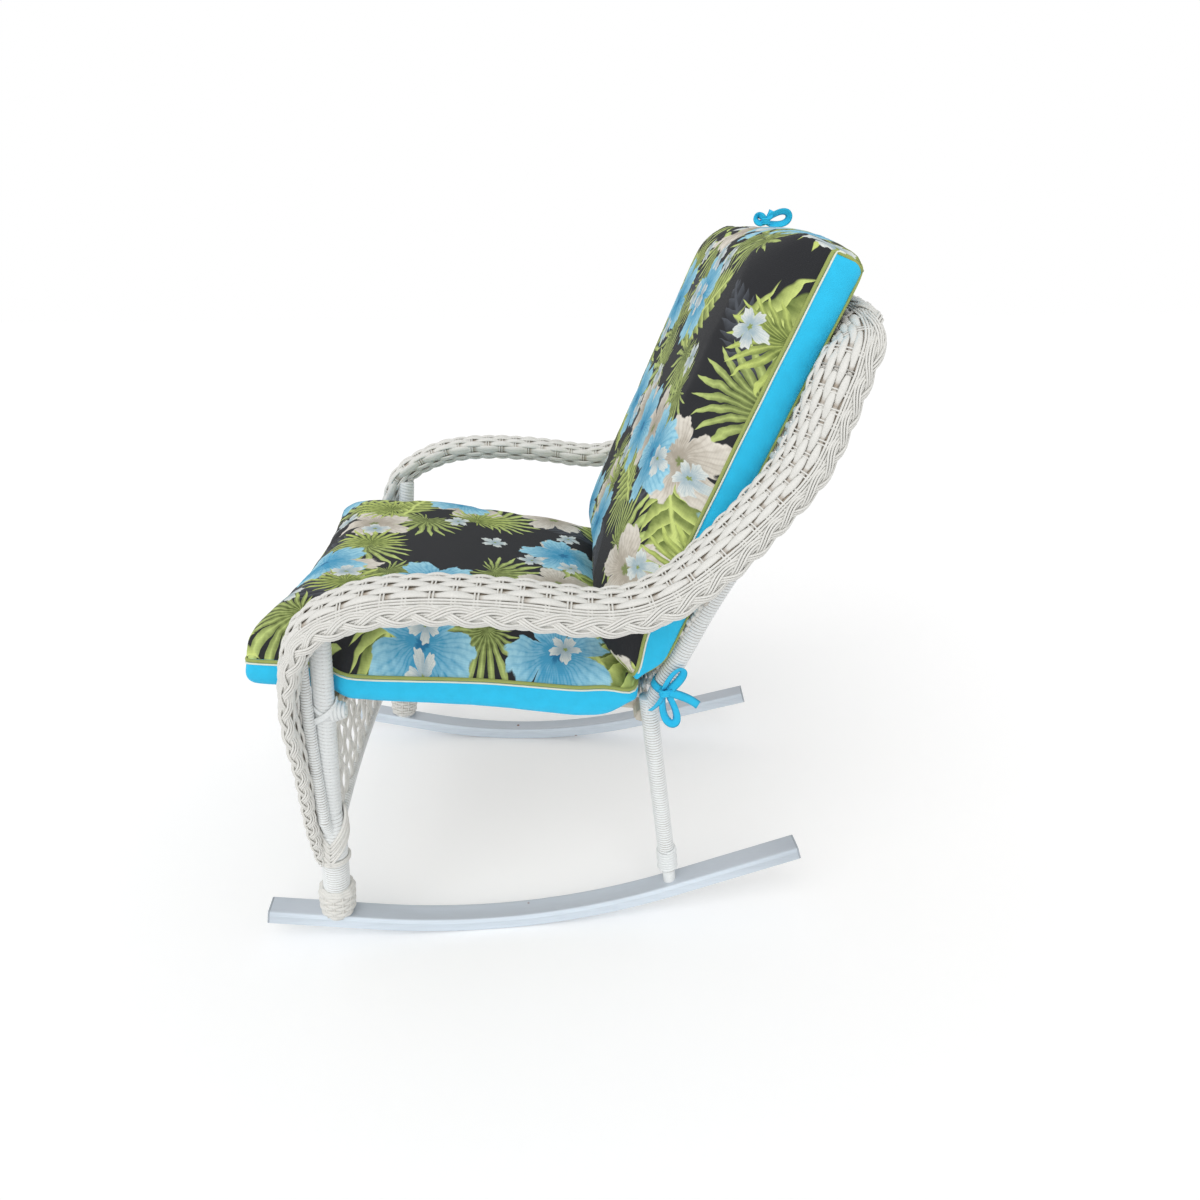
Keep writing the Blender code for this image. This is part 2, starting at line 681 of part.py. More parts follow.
def make_rear_leg(name, side, rocker, post_room):
    foot, _, direction = leg_route(side, REAR_FOOT, rear_leg_lean())
    head = mirrored(rear_leg_head(), side)
    leg = pole(name + "_rear_leg", [foot, head], REAR_LEG_RADIUS, POLE_WRAP)
    drill_rocker(name + "_rear_leg_hole", side, REAR_FOOT, direction, REAR_LEG_RADIUS, rocker)
    cut(leg, bpy.data.objects[name + "_rear_leg_screw_room"], post_room)
    return pole_room(name + "_rear_leg_room", [foot, head], REAR_LEG_RADIUS)


# Back posts, top rail and arm poles

def post_route(side):
    """Straight up from the seat, then inside the band to the rim's corner."""
    low = SEAT_REAR_HEIGHT - POST_FOOT_DROP
    straight = [post_point(side, low + POST_STRAIGHT * share) for share in (0.0, 0.5, 1.0)]
    return straight + [station.at for station in band_stations(side, CORNER_KNOT - 1, CORNER_KNOT)]


def make_back_post(name, side):
    pole(name + "_back_post", post_route(side), POST_RADIUS, POLE_WRAP)
    return pole_room(name + "_back_post_room", post_route(side), POST_RADIUS)


def make_top_rail(post_rooms):
    half = [station.at for station in band_stations(1, CORNER_KNOT, MIDDLE_KNOT)]
    route = half + [mirrored(point, -1) for point in reversed(half[:-1])]
    cut(pole("back_top_rail", route, TOP_RAIL_RADIUS, POLE_CANE), *post_rooms)


def make_arm_pole(name, side, rooms):
    stations = band_stations(side, BEND_KNOT, BACK_KNOT)
    route = [station.at - station.across * ARM_POLE_INSET for station in stations]
    cut(pole(name + "_arm_pole", route, ARM_POLE_RADIUS, POLE_CANE), *rooms)


# Seat

def make_seat_rails(front_rooms, rear_rooms):
    legs = [on_leg(side, SEAT_RAIL_HEIGHT) for _, side in SIDES]
    posts = [post_point(side, SEAT_REAR_HEIGHT) for _, side in SIDES]
    cut(pole("seat_front_rail", legs, SEAT_RAIL_RADIUS, POLE_CANE), *front_rooms)
    cut(pole("seat_rear_rail", posts, SEAT_RAIL_RADIUS, POLE_CANE), *rear_rooms)
    front_room = pole_room("seat_front_rail_room", legs, SEAT_RAIL_RADIUS)
    rear_room = pole_room("seat_rear_rail_room", posts, SEAT_RAIL_RADIUS)
    side_rooms = []
    lift = SEAT_RAIL_RADIUS - SIDE_RAIL_RADIUS
    for name, side in SIDES:
        across = side * SIDE_RAIL_SPREAD
        ends = [seat_point(across, SEAT_FRONT_Y + SEAT_RAIL_RADIUS / 2, lift),
                seat_point(across, SEAT_REAR_Y - SEAT_RAIL_RADIUS / 2, lift)]
        cut(pole(f"seat_{name}_rail", ends, SIDE_RAIL_RADIUS, POLE_CANE), front_room, rear_room)
        side_rooms.append(pole_room(f"seat_{name}_rail_room", ends, SIDE_RAIL_RADIUS))
    lift = SEAT_RAIL_RADIUS - SEAT_BAR_RADIUS
    middle = (SEAT_FRONT_Y + SEAT_REAR_Y) / 2
    for label, place in (("front", middle - SEAT_BAR_SPACING / 2), ("rear", middle + SEAT_BAR_SPACING / 2)):
        ends = [seat_point(across, place, lift) for across in (SIDE_RAIL_SPREAD, -SIDE_RAIL_SPREAD)]
        cut(pole(f"seat_{label}_bar", ends, SEAT_BAR_RADIUS, POLE_CANE), *side_rooms)
    return front_room, rear_room


def make_woven_seat():
    half = SIDE_RAIL_SPREAD + SEAT_SHEET_OVERHANG
    low, high = SEAT_SHEET_LIFT, SEAT_SHEET_LIFT + SEAT_SHEET
    rings = []
    for y in (SEAT_FRONT_Y, SEAT_REAR_Y - BACK_STAKE_RADIUS):
        rings.append([seat_point(half, y, low), seat_point(half, y, high),
                      seat_point(-half, y, high), seat_point(-half, y, low)])
    add_part("woven_seat", to_mesh("woven_seat", lambda bm: loft(bm, rings)), REED, smooth=False)


# Woven bands, back and apron

def make_bands(rooms_by_side):
    rooms = []
    for name, side in SIDES:
        stations = band_stations(side, 0, CORNER_KNOT)
        band = add_part(name + "_arm_band", band_mesh(name + "_arm_band", stations, wall=BAND_WALL), REED)
        cut(band, *rooms_by_side[name])
        rooms.append(add_cutter(name + "_arm_band_room", band_mesh(name + "_arm_band_room", stations, GAP)))
    left = band_stations(1, CORNER_KNOT, MIDDLE_KNOT)
    left[0] = left[0]._replace(at=left[0].at + left[0].along * GAP)
    right = [station._replace(at=mirrored(station.at, -1), across=mirrored(station.across, -1),
                              normal=mirrored(station.normal, -1)) for station in reversed(left[:-1])]
    rim = left + right
    add_part("back_rim_band", band_mesh("back_rim_band", rim, wall=BAND_WALL), REED)
    rooms.append(add_cutter("back_rim_band_room", band_mesh("back_rim_band_room", rim, GAP)))
    return rooms


def make_woven_back(band_rooms, post_rooms):
    """Sheet in the back plane that reaches into the bands at its sides and the rim at its top."""
    edges = [(GAP + BACK_SHEET * math.tan(BACK_RAKE), BACK_FOOT_HALF_WIDTH)]
    insets = {BACK_KNOT: 0.0, CORNER_KNOT - 1: 0.0, CORNER_KNOT: RIM_WIDTH / 2, CORNER_KNOT + 1: RIM_WIDTH}
    for place, inset in insets.items():
        at = band_station(1, place).at
        edges.append(((at.z - BACK_LINE.z) / BACK_UP.z, at.x - inset))
    rings = []
    for up, half in edges:
        rings.append([back_point(half, up, 0), back_point(half, up, -BACK_SHEET),
                      back_point(-half, up, -BACK_SHEET), back_point(-half, up, 0)])
    sheet = add_part("woven_back", to_mesh("woven_back", lambda bm: loft(bm, rings)), REED, smooth=False)
    cut(sheet, *band_rooms, *post_rooms)


def make_back_stakes(rear_room, rim_room):
    top = (RIM_HEIGHT - BACK_LINE.z) / BACK_UP.z
    behind = -(BACK_SHEET + BACK_STAKE_RADIUS + GAP)
    for index, label in enumerate(("right", "middle", "left")):
        x = (index - 1) * BACK_STAKE_SPACING
        foot = Vector((x, SEAT_REAR_Y, SEAT_REAR_HEIGHT))
        stake = pole(label + "_back_stake", [foot, back_point(x, top, behind)], BACK_STAKE_RADIUS, POLE_CANE)
        cut(stake, rear_room, rim_room)


def apron_edge():
    """The arch of the apron's lower edge, from leg to leg in the plane of the front legs."""
    half = on_leg(1, APRON_FOOT).x
    points = []
    for i in range(APRON_STEPS + 1):
        share = 2 * i / APRON_STEPS - 1
        height = APRON_FOOT + (APRON_CROWN - APRON_FOOT) * math.sqrt(1 - share ** 2)
        points.append(Vector((half * share, on_leg(1, height).y, height)))
    return points


def apron_openings(edge):
    """Cutter for the gaps of the lattice: columns between the legs, rows down to the arch."""
    half = edge[-1].x - FRONT_FOOT_RADIUS - APRON_STRIP
    pitch = 2 * half / APRON_COLUMNS
    wide, tall = pitch - APRON_STRIP, APRON_ROW - APRON_STRIP
    top = SEAT_RAIL_HEIGHT - SEAT_RAIL_RADIUS - APRON_STRIP
    rows = int((top - APRON_FOOT) / APRON_ROW)

    def arch_under(x):
        right = next(i for i, point in enumerate(edge) if point.x >= x)
        near, far = edge[right - 1], edge[right]
        return near.z + (far.z - near.z) * (x - near.x) / (far.x - near.x)

    def fill(bm):
        for column in range(APRON_COLUMNS):
            x = -half + pitch * (column + 0.5)
            arch = max(arch_under(x - wide / 2), arch_under(x), arch_under(x + wide / 2))
            for row in range(rows):
                z = top - APRON_ROW * row - tall / 2
                if z - tall / 2 > arch + APRON_POLE_RADIUS + APRON_STRIP:
                    size = Matrix.Diagonal((wide, 4 * APRON_SHEET, tall, 1))
                    place = Matrix.Translation((x, on_leg(1, z).y, z))
                    bmesh.ops.create_cube(bm, size=1.0, matrix=place @ size)

    return add_cutter("apron_openings", to_mesh("apron_openings", fill))


def make_apron(rooms):
    """Open lattice under the front rail, with a wound pole along its arched lower edge."""
    edge = apron_edge()
    cut(pole("apron_edge_pole", edge, APRON_POLE_RADIUS, POLE_WRAP), *rooms)
    pole_space = pole_room("apron_edge_pole_room", edge, APRON_POLE_RADIUS)
    thick = Vector((0, APRON_SHEET / 2, 0))
    rings = []
    for low in edge:
        high = Vector((low.x, SEAT_FRONT_Y, SEAT_RAIL_HEIGHT))
        rings.append([low - thick, low + thick, high + thick, high - thick])
    apron = add_part("front_apron", to_mesh("front_apron", lambda bm: loft(bm, rings)), REED, smooth=False)
    cut(apron, *rooms, pole_space, apron_openings(edge))


# Collars, wraps and bindings

def make_foot_collar(name, side, rooms):
    foot, top, direction = leg_route(side, -FRONT_FOOT, FRONT_LEG_LEAN)
    first, second = circle_axes(direction)
    low = on_leg(side, top.z)
    outer, inner = [], []
    profile = ((0.0, COLLAR_FOOT_RADIUS), (COLLAR_WAIST, COLLAR_WAIST_RADIUS), (COLLAR_HEIGHT, COLLAR_RADIUS))
    for rise, radius in profile:
        centre = low + direction * rise
        outer.append(ellipse(centre, first * radius, second * radius, 16))
        bore = FRONT_FOOT_RADIUS + GAP
        inner.append(ellipse(centre, first * bore, second * bore, 16))
    mesh = to_mesh(name + "_front_foot_collar", lambda bm: loft(bm, outer, inner))
    cut(add_part(name + "_front_foot_collar", mesh, REED), *rooms)


def make_rocker_room(name, side):
    """Room over the rocker's top face, for what stands on it."""
    rings = [[point + Vector((0, 0, GAP)) for point in ring] for ring in rocker_rings(0.0)]
    cutter = add_cutter(name + "_rocker_room", to_mesh(name + "_rocker_room", lambda bm: loft(bm, rings)))
    cutter.location = (side * ROCKER_HALF_SPACING, 0, 0)
    cutter.rotation_euler.z = side * ROCKER_TOE_IN
    return cutter


def helix_gap(points, turn_points):
    """Least distance between turns next to each other, surface to surface."""
    pairs = zip(points, points[turn_points:])
    return min((a - b).length for a, b in pairs) - 2 * WRAP_CORD


def make_foot_wrap(name, side):
    """Cord wound round the rear leg above the rocker."""
    foot, top, direction = leg_route(side, REAR_FOOT, rear_leg_lean())
    first, second = circle_axes(direction)
    radius = REAR_LEG_RADIUS + WRAP_CORD + GAP
    turn_points = 24
    points = []
    for i in range(WRAP_TURNS * turn_points + 1):
        angle = 2 * math.pi * i / turn_points
        rise = WRAP_LIFT + ROCKER_HEIGHT + WRAP_PITCH * i / turn_points
        around = first * math.cos(angle) + second * math.sin(angle)
        points.append(foot + direction * rise + around * radius)
    print(f"{name}_rear_foot_wrap least gap between turns {helix_gap(points, turn_points) * 1000:.2f} mm")
    mesh = curve_mesh(name + "_rear_foot_wrap", points, WRAP_CORD, resolution=1)
    add_part(name + "_rear_foot_wrap", mesh, POLE_WRAP)


def make_binding(name, side, rooms):
    """Two strands crossed over the outer and rear face of the front leg, where the front rail meets it."""
    joint = on_leg(side, SEAT_RAIL_HEIGHT)
    over_leg = FRONT_LEG_RADIUS + BINDING_CORD + GAP
    steps = 6
    strands = []
    for lean in (1, -1):
        points = []
        for i in range(steps + 1):
            share = i / steps
            angle = BINDING_START + (BINDING_END - BINDING_START) * share
            at = on_leg(side, joint.z + lean * BINDING_RISE * (2 * share - 1))
            points.append(at + Vector((side * over_leg * math.cos(angle), over_leg * math.sin(angle), 0)))
        strands.append(curve_mesh(name + "_binding_strand", points, BINDING_CORD, resolution=1))
    binding = add_part(name + "_seat_binding", strands[0], POLE_WRAP)
    join(binding, add_cutter(name + "_binding_cross", strands[1]))
    cut(binding, *rooms)


# Cushions

def edge_draw(share):
    """How far a cushion's edge is drawn in, at a share of the way from its middle to its corner."""
    return CUSHION_DRAW * (1 - share ** 2)


def cushion_outline(half_width, length, bow):
    """Rounded rectangle whose sides draw in between the corners; its +Y side stands out by any bow."""
    half_length = length / 2
    corner = CUSHION_CORNER
    straight = EDGE_POINTS
    arc = 3
    points = []
    for quarter in range(4):
        turn = math.pi / 2 * quarter
        swap = quarter % 2 == 1
        long_half = half_length if not swap else half_width
        reach = half_width if not swap else half_length
        side_points = []
        for i in range(straight):
            share = 2 * i / (straight - 1) - 1
            draw = -bow * (1 - share ** 2) if bow and quarter == 1 else edge_draw(share)
            side_points.append((reach - draw, share * (long_half - corner)))
        for i in range(1, arc):
            angle = math.pi / 2 * i / arc
            side_points.append((reach - corner + corner * math.cos(angle),
                                long_half - corner + corner * math.sin(angle)))
        for x, y in side_points:
            points.append((x * math.cos(turn) - y * math.sin(turn), x * math.sin(turn) + y * math.cos(turn)))
    return points


def cushion_rings(half_width, length, place, bow=0.0):
    """Rings from the flat underside, up the boxing and over the crown."""
    outline = cushion_outline(half_width, length, bow)
    half_length = length / 2
    levels = [(CUSHION_EDGE, 0.0), (0.0, CUSHION_EDGE)]
    levels += [(-CUSHION_BULGE, CUSHION_BOXING / 2), (0.0, CUSHION_BOXING)]
    levels += [(inset, CUSHION_BOXING + CUSHION_CROWN * share) for inset, share in CROWN_RISE]
    rings = []
    for inset, height in levels:
        wide = 1 - inset / half_width
        deep = 1 - inset / half_length
        rings.append([place(x * wide, y * deep, height) for x, y in outline])
    return rings


def make_cushions():
    middle = SEAT_CUSHION_LENGTH / 2 - SEAT_CUSHION_FRONT

    def on_seat(x, y, height):
        return seat_point(x, middle, CUSHION_LIFT + height) + SEAT_ALONG * y

    def on_back(x, y, height):
        return back_point(x, BACK_CUSHION_LIFT + BACK_CUSHION_LENGTH / 2 + y, GAP + height)

    seat_rings = cushion_rings(SEAT_CUSHION_HALF_WIDTH, SEAT_CUSHION_LENGTH, on_seat)
    back_rings = cushion_rings(BACK_CUSHION_HALF_WIDTH, BACK_CUSHION_LENGTH, on_back, BACK_CUSHION_BOW)
    add_part("seat_cushion", to_mesh("seat_cushion", lambda bm: loft(bm, seat_rings)), PRINT_CLOTH)
    add_part("back_cushion", to_mesh("back_cushion", lambda bm: loft(bm, back_rings)), PRINT_CLOTH)
    make_cushion_hinge(on_seat, on_back)


def make_cushion_hinge(on_seat, on_back):
    """Sewn strip from the seat cushion's rear to the back cushion's foot, along their drawn edges."""
    chord = CUSHION_DRAW / (EDGE_POINTS - 1) ** 2
    clear = CUSHION_BULGE + chord + GAP
    half = HINGE_THICKNESS / 2
    rings = []
    for i in range(HINGE_STEPS + 1):
        x = HINGE_HALF_WIDTH * (2 * i / HINGE_STEPS - 1)
        seat_draw = edge_draw(x / (SEAT_CUSHION_HALF_WIDTH - CUSHION_CORNER))
        back_draw = edge_draw(x / (BACK_CUSHION_HALF_WIDTH - CUSHION_CORNER))
        rear = SEAT_CUSHION_LENGTH / 2 - seat_draw + clear
        foot = -(BACK_CUSHION_LENGTH / 2 - back_draw + clear)
        rings.append([on_seat(x, rear, HINGE_HEIGHT), on_seat(x, rear + HINGE_THICKNESS, HINGE_HEIGHT),
                      on_back(x, foot, CUSHION_BOXING / 2 - half),
                      on_back(x, foot, CUSHION_BOXING / 2 + half)])
    add_part("cushion_hinge", to_mesh("cushion_hinge", lambda bm: loft(bm, rings)), TIE_FABRIC, smooth=False)


# Ties

def bow_strands(centre, angles):
    """Two loops and two tails of a bow, in a plane square to X."""
    def place(reach, swing, turn):
        return centre + Vector((0, reach * math.cos(turn) - swing * math.sin(turn),
                                reach * math.sin(turn) + swing * math.cos(turn)))

    steps = 10
    strands = []
    for turn in angles[:2]:
        loop = []
        for i in range(steps + 1):
            t = math.pi * (i / steps - 0.5)
            swing = math.sin(t) * (TIE_LOOP_SPREAD * math.cos(t) + TIE_KNOT / 3)
            loop.append(place(TIE_LOOP * math.cos(t), swing, turn))
        strands.append(loop)
    for turn in angles[2:]:
        shares = (0.0, 0.35, 0.7, 1.0)
        strands.append([place(TIE_TAIL * share, 0, turn + TIE_TAIL_CURL * share) for share in shares])
    return strands


def knot_mesh(name, centre):
    def fill(bm):
        bmesh.ops.create_uvsphere(bm, u_segments=10, v_segments=7, radius=TIE_KNOT,
                                  matrix=Matrix.Translation(centre))
    return to_mesh(name, fill)


def make_rear_tie(name, side, rooms):
    """Strap round the foot of the back post with its bow on the outside."""
    middle = post_point(side, SEAT_REAR_HEIGHT + TIE_OVER_SEAT)
    along = mirrored(POST_LEAN, side).normalized()
    first, second = circle_axes(along)
    outer, inner = [], []
    for shift in (-TIE_WIDTH / 2, TIE_WIDTH / 2):
        centre = middle + along * shift
        bore = POST_RADIUS + GAP
        outer.append(ellipse(centre, first * (bore + TIE_CLOTH), second * (bore + TIE_CLOTH), 12))
        inner.append(ellipse(centre, first * bore, second * bore, 12))
    strap = to_mesh(name + "_rear_tie", lambda bm: loft(bm, outer, inner))
    tie = add_part(name + "_rear_tie", strap, TIE_FABRIC)
    knot = middle + Vector((side * (POST_RADIUS + TIE_KNOT), 0, 0))
    add_bow(tie, name + "_rear_tie", knot, REAR_BOW)
    cut(tie, *rooms)


def add_bow(tie, name, knot, angles):
    join(tie, add_cutter(name + "_knot", knot_mesh(name + "_knot", knot)))
    for index, strand in enumerate(bow_strands(knot, angles)):
        mesh = strap_mesh(f"{name}_strand_{index}", strand, X_OUT)
        join(tie, add_cutter(f"{name}_strand_{index}", mesh))


def make_top_tie(rooms):
    """Strap from the rim up behind the cushion and over its top edge, with its bow on top."""
    bow = BACK_CUSHION_BOW * (1 - (TOP_TIE_PLACE / BACK_CUSHION_HALF_WIDTH) ** 2)
    top = BACK_CUSHION_LIFT + BACK_CUSHION_LENGTH + bow + CUSHION_BULGE + TIE_CLOTH
    behind = -(TIE_CLOTH / 2 + GAP)
    low = (RIM_HEIGHT + RIM_ARCH - BACK_LINE.z) / BACK_UP.z
    strap = [back_point(TOP_TIE_PLACE, up, behind) for up in (low, (low + top) / 2, top)]
    knot = back_point(TOP_TIE_PLACE, top + TIE_KNOT + TOP_TIE_SLACK, TOP_TIE_FRONT)
    tie = add_part("top_tie", strap_mesh("top_tie", strap + [knot], X_OUT), TIE_FABRIC)
    add_bow(tie, "top_tie", knot, TOP_BOW)
    cut(tie, *rooms)


def centre_chair():
    """Put the middle of the chair's box over the origin."""
    graph = bpy.context.evaluated_depsgraph_get()
    ys = []
    for obj in PARTS.objects:
        if obj.type == "MESH":
            seen = obj.evaluated_get(graph)
            ys += [(seen.matrix_world @ vertex.co).y for vertex in seen.data.vertices]
    ROOT.location.y = -(min(ys) + max(ys)) / 2


def build():
    leg_rooms, post_rooms, brace_rooms, rear_rooms, band_cuts = [], [], [], [], {}
    for name, side in SIDES:
        rocker = make_base(name, side)
        leg_room = make_front_leg(name, side, rocker)
        brace_room = make_arm_brace(name, side, leg_room)
        post_room = make_back_post(name, side)
        rear_rooms.append(make_rear_leg(name, side, rocker, post_room))
        make_foot_collar(name, side, [make_rocker_room(name, side), leg_room])
        make_foot_wrap(name, side)
        make_arm_pole(name, side, [leg_room, post_room, brace_room])
        band_cuts[name] = [leg_room, brace_room, post_room]
        leg_rooms.append(leg_room)
        post_rooms.append(post_room)
        brace_rooms.append(brace_room)
    make_top_rail(post_rooms)
    front_room, rear_room = make_seat_rails(leg_rooms, post_rooms + rear_rooms)
    make_woven_seat()
    band_rooms = make_bands(band_cuts)
    rim_room = band_rooms[-1]
    make_woven_back(band_rooms, post_rooms)
    make_back_stakes(rear_room, rim_room)
    make_apron(leg_rooms + [front_room])
    for index, (name, side) in enumerate(SIDES):
        make_binding(name, side, [leg_rooms[index], brace_rooms[index], front_room])
        make_rear_tie(name, side, [post_rooms[index], rear_rooms[index], rear_room])
    make_cushions()
    make_top_tie([rim_room])
    bpy.context.view_layer.update()
    centre_chair()


build()
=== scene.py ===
"""Visual model of a wicker rocking chair, laid out as an add-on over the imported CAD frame.

Lengths are in metres. The chair faces -Y and its left side is at +X. Routes are worked out with Y
measured from the point where the rockers touch the floor, as in the CAD, and shifted when a mesh is made.
"""

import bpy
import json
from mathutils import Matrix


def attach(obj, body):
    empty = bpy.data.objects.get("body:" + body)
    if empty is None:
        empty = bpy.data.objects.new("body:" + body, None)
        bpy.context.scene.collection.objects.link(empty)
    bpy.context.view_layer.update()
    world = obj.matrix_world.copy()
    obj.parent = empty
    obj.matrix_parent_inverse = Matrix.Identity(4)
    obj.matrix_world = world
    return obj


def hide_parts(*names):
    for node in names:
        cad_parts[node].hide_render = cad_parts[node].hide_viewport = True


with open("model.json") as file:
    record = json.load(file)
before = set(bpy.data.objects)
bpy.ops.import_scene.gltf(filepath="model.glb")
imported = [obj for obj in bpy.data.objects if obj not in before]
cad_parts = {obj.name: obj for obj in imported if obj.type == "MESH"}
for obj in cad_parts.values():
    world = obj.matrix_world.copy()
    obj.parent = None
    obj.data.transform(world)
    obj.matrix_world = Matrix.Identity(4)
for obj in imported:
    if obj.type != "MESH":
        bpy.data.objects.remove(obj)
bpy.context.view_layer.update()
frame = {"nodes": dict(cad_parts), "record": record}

import copy
import json
import math
from functools import partial

import bpy
import numpy as np
from bpy.props import FloatProperty, FloatVectorProperty, IntProperty, PointerProperty
from mathutils import Matrix

bl_info = {
    "name": "Wicker rocking chair",
    "version": (1, 0, 0),
    "blender": (4, 5, 0),
    "location": "3D view > Sidebar > Chair",
    "description": "Builds the woven, painted and sewn pieces of a wicker rocking chair",
    "category": "Add Mesh",
}

SHIFT = np.array([0.0, frame["record"]["mounts"][0]["pos_m"][1], 0.0])
SIDES = (("left", 1), ("right", -1))


def linear(code):
    """Linear colour of an sRGB hex value."""
    parts = [int(code[i:i + 2], 16) / 255 for i in (0, 2, 4)]
    return tuple(p / 12.92 if p <= 0.04045 else ((p + 0.055) / 1.055) ** 2.4 for p in parts)


# Sizes that a user would change

class ChairWicker(bpy.types.PropertyGroup):
    reed: FloatProperty(name="Weaver", description="Width of the fat weaving reed", default=0.0108,
                        unit="LENGTH")
    thin: FloatProperty(name="Thin reed", description="Width of the thin reeds and stakes",
                        default=0.0042, unit="LENGTH")
    stakes: FloatProperty(name="Stake spacing", description="Distance between pairs of stakes",
                          default=0.026, unit="LENGTH")
    plait: FloatProperty(name="Plait", description="Length of one turn of the edge plait",
                         default=0.138, unit="LENGTH")
    paint: FloatVectorProperty(name="Paint", description="White paint on the reed", subtype="COLOR",
                               default=linear("E0DFDA"))
    # The gap colour: bare reed where the paint is worn, and painted shade down in the gaps
    bare_and_gap_shade: FloatVectorProperty(name="Crevices", description="Worn bare reed, and painted shade in the gaps",
                                 subtype="COLOR", default=linear("94836F"))


class ChairMetal(bpy.types.PropertyGroup):
    paint: FloatVectorProperty(name="Paint", description="Silver-grey paint on the rockers",
                               subtype="COLOR", default=linear("D6E1EB"))
    rust: FloatVectorProperty(name="Rust", description="Rust where the paint is chipped",
                              subtype="COLOR", default=linear("7A4A2C"))


class ChairCushion(bpy.types.PropertyGroup):
    pressure: FloatProperty(name="Filling", description="Pressure of the filling in the simulation",
                            default=6.0, min=0.0)
    steps: IntProperty(name="Steps", description="Frames that the cloth simulation runs for",
                       default=20, min=2)
    piping: FloatProperty(name="Piping", description="Radius of the piping", default=0.0024,
                          unit="LENGTH")
    tie: FloatProperty(name="Ties", description="Width of the tie ribbons", default=0.012, unit="LENGTH")
    ground: FloatVectorProperty(name="Ground", description="Ground of the print", subtype="COLOR",
                                default=linear("28292C"))
    leaf: FloatVectorProperty(name="Leaves", description="Leaves of the print", subtype="COLOR",
                              default=linear("C4D583"))
    blossom: FloatVectorProperty(name="Blossoms", description="Larger blossoms of the print",
                                 subtype="COLOR", default=linear("469BC2"))
    lily: FloatVectorProperty(name="Lilies", description="Smaller blossoms of the print",
                              subtype="COLOR", default=linear("E2DCD1"))
    plain: FloatVectorProperty(name="Plain cloth", description="Boxing and ties", subtype="COLOR",
                               default=linear("24C0EC"))
    cord: FloatVectorProperty(name="Piping colour", description="Piping along the seams",
                              subtype="COLOR", default=linear("9BA75C"))


class ChairStage(bpy.types.PropertyGroup):
    sky: FloatProperty(name="Sky", description="Strength of the even light", default=0.74, min=0.0)
    key: FloatProperty(name="Key", description="Strength of the broad key light", default=1.15, min=0.0)
    floor: FloatVectorProperty(name="Floor", description="Colour of the floor", subtype="COLOR",
                               default=linear("FDFDFD"))


# Sizes and routes, most of them the CAD's

ROCKER_RADIUS, ROCKER_WIDTH, ROCKER_HEIGHT, ROCKER_WALL = 1.003, 0.034, 0.022, 0.002
FRONT_SLOPE, REAR_SLOPE = math.radians(-10), math.radians(16)
FRONT_REACH, REAR_REACH, CAP_PLATE, DISH = 0.326, 0.466, 0.0025, 0.0028
ROCKER_SPACING, TOE_IN = 0.267, math.radians(3.87)
FRONT_FOOT, REAR_FOOT = 0.228, 0.2715
FRONT_LEG, FRONT_FOOT_LEG, REAR_LEG, BRACE, POST = 0.013, 0.018, 0.010, 0.0072, 0.0135
SEAT_HEIGHT, SEAT_DROP, ARM_HEIGHT, RIM_HEIGHT, RIM_ARCH = 0.388, 0.042, 0.568, 0.862, 0.012
CUSHION_REAR, RAIL_BEHIND, BACK_BEHIND, RIM_BEHIND = 0.192, 0.0297, 0.018, 0.0276
RAKE = math.radians(23.3)
ARM_SPREAD, BACK_SPREAD, POST_SPREAD = 0.369, 0.343, 0.2598
ARM_WIDTH, ARM_DEPTH, BACK_WIDTH, BACK_DEPTH = 0.090, 0.046, 0.066, 0.040
RIM_WIDTH, RIM_DEPTH, GAP = 0.064, 0.036, 0.0003
SWELL_HEIGHT, NECK_HEIGHT, WOUND_HEIGHT = 0.225, 0.235, 0.150
APRON_FOOT, APRON_ARCH, APRON_POLE = 0.140, 0.082, 0.0065
SEAT_PAD_HALF, SEAT_PAD_LENGTH, SEAT_PAD_FRONT = 0.288, 0.497, -0.305
BACK_PAD_HALF, BACK_PAD_LENGTH, BACK_PAD_FOOT, BACK_PAD_BOW = 0.299, 0.562, 0.062, 0.018
HINGE_HALF, TOP_TIE_AT = 0.235, -0.185


def vec(*parts):
    return np.array(parts, float)


LEG_LEAN, POST_LEAN = vec(0.083, 0.086, 1.0), vec(0.160, 0.430, 1.0)


def unit(v):
    return v / np.linalg.norm(v, axis=-1, keepdims=True)


def eased(value):
    """0 to 1, with soft ends."""
    value = np.clip(value, 0, 1)
    return value * value * (3 - 2 * value)


def flip(point, side):
    return point * vec(side, 1, 1)


def square_to(along):
    """Two directions square to a pole's."""
    first = unit(np.cross(along, vec(0, 1, 0)))
    return first, np.cross(first, along)


def run_along(path):
    """Length along a path up to each of its points."""
    return np.concatenate([[0], np.cumsum(np.linalg.norm(np.diff(path, axis=0), axis=1))])


def spline(points, place):
    """Place on a smooth curve through points, counted in points."""
    first = min(int(place), len(points) - 2)
    p0, p1, p2, p3 = (points[max(0, min(len(points) - 1, first + k))] for k in (-1, 0, 1, 2))
    t = place - first
    return 0.5 * (2 * p1 + (p2 - p0) * t + (2 * p0 - 5 * p1 + 4 * p2 - p3) * t ** 2
                  + (3 * p1 - p0 - 3 * p2 + p3) * t ** 3)


def underside(turn):
    return vec(0, ROCKER_RADIUS * math.sin(turn), ROCKER_RADIUS * (1 - math.cos(turn)))


def rocker_end(y):
    """Underside of a straight rocker end, and the directions along it and square up from it."""
    slope = FRONT_SLOPE if y < 0 else REAR_SLOPE
    start = underside(slope)
    at = vec(0, y, start[2] + (y - start[1]) * math.tan(slope))
    return at, vec(0, math.cos(slope), math.sin(slope)), vec(0, -math.sin(slope), math.cos(slope))


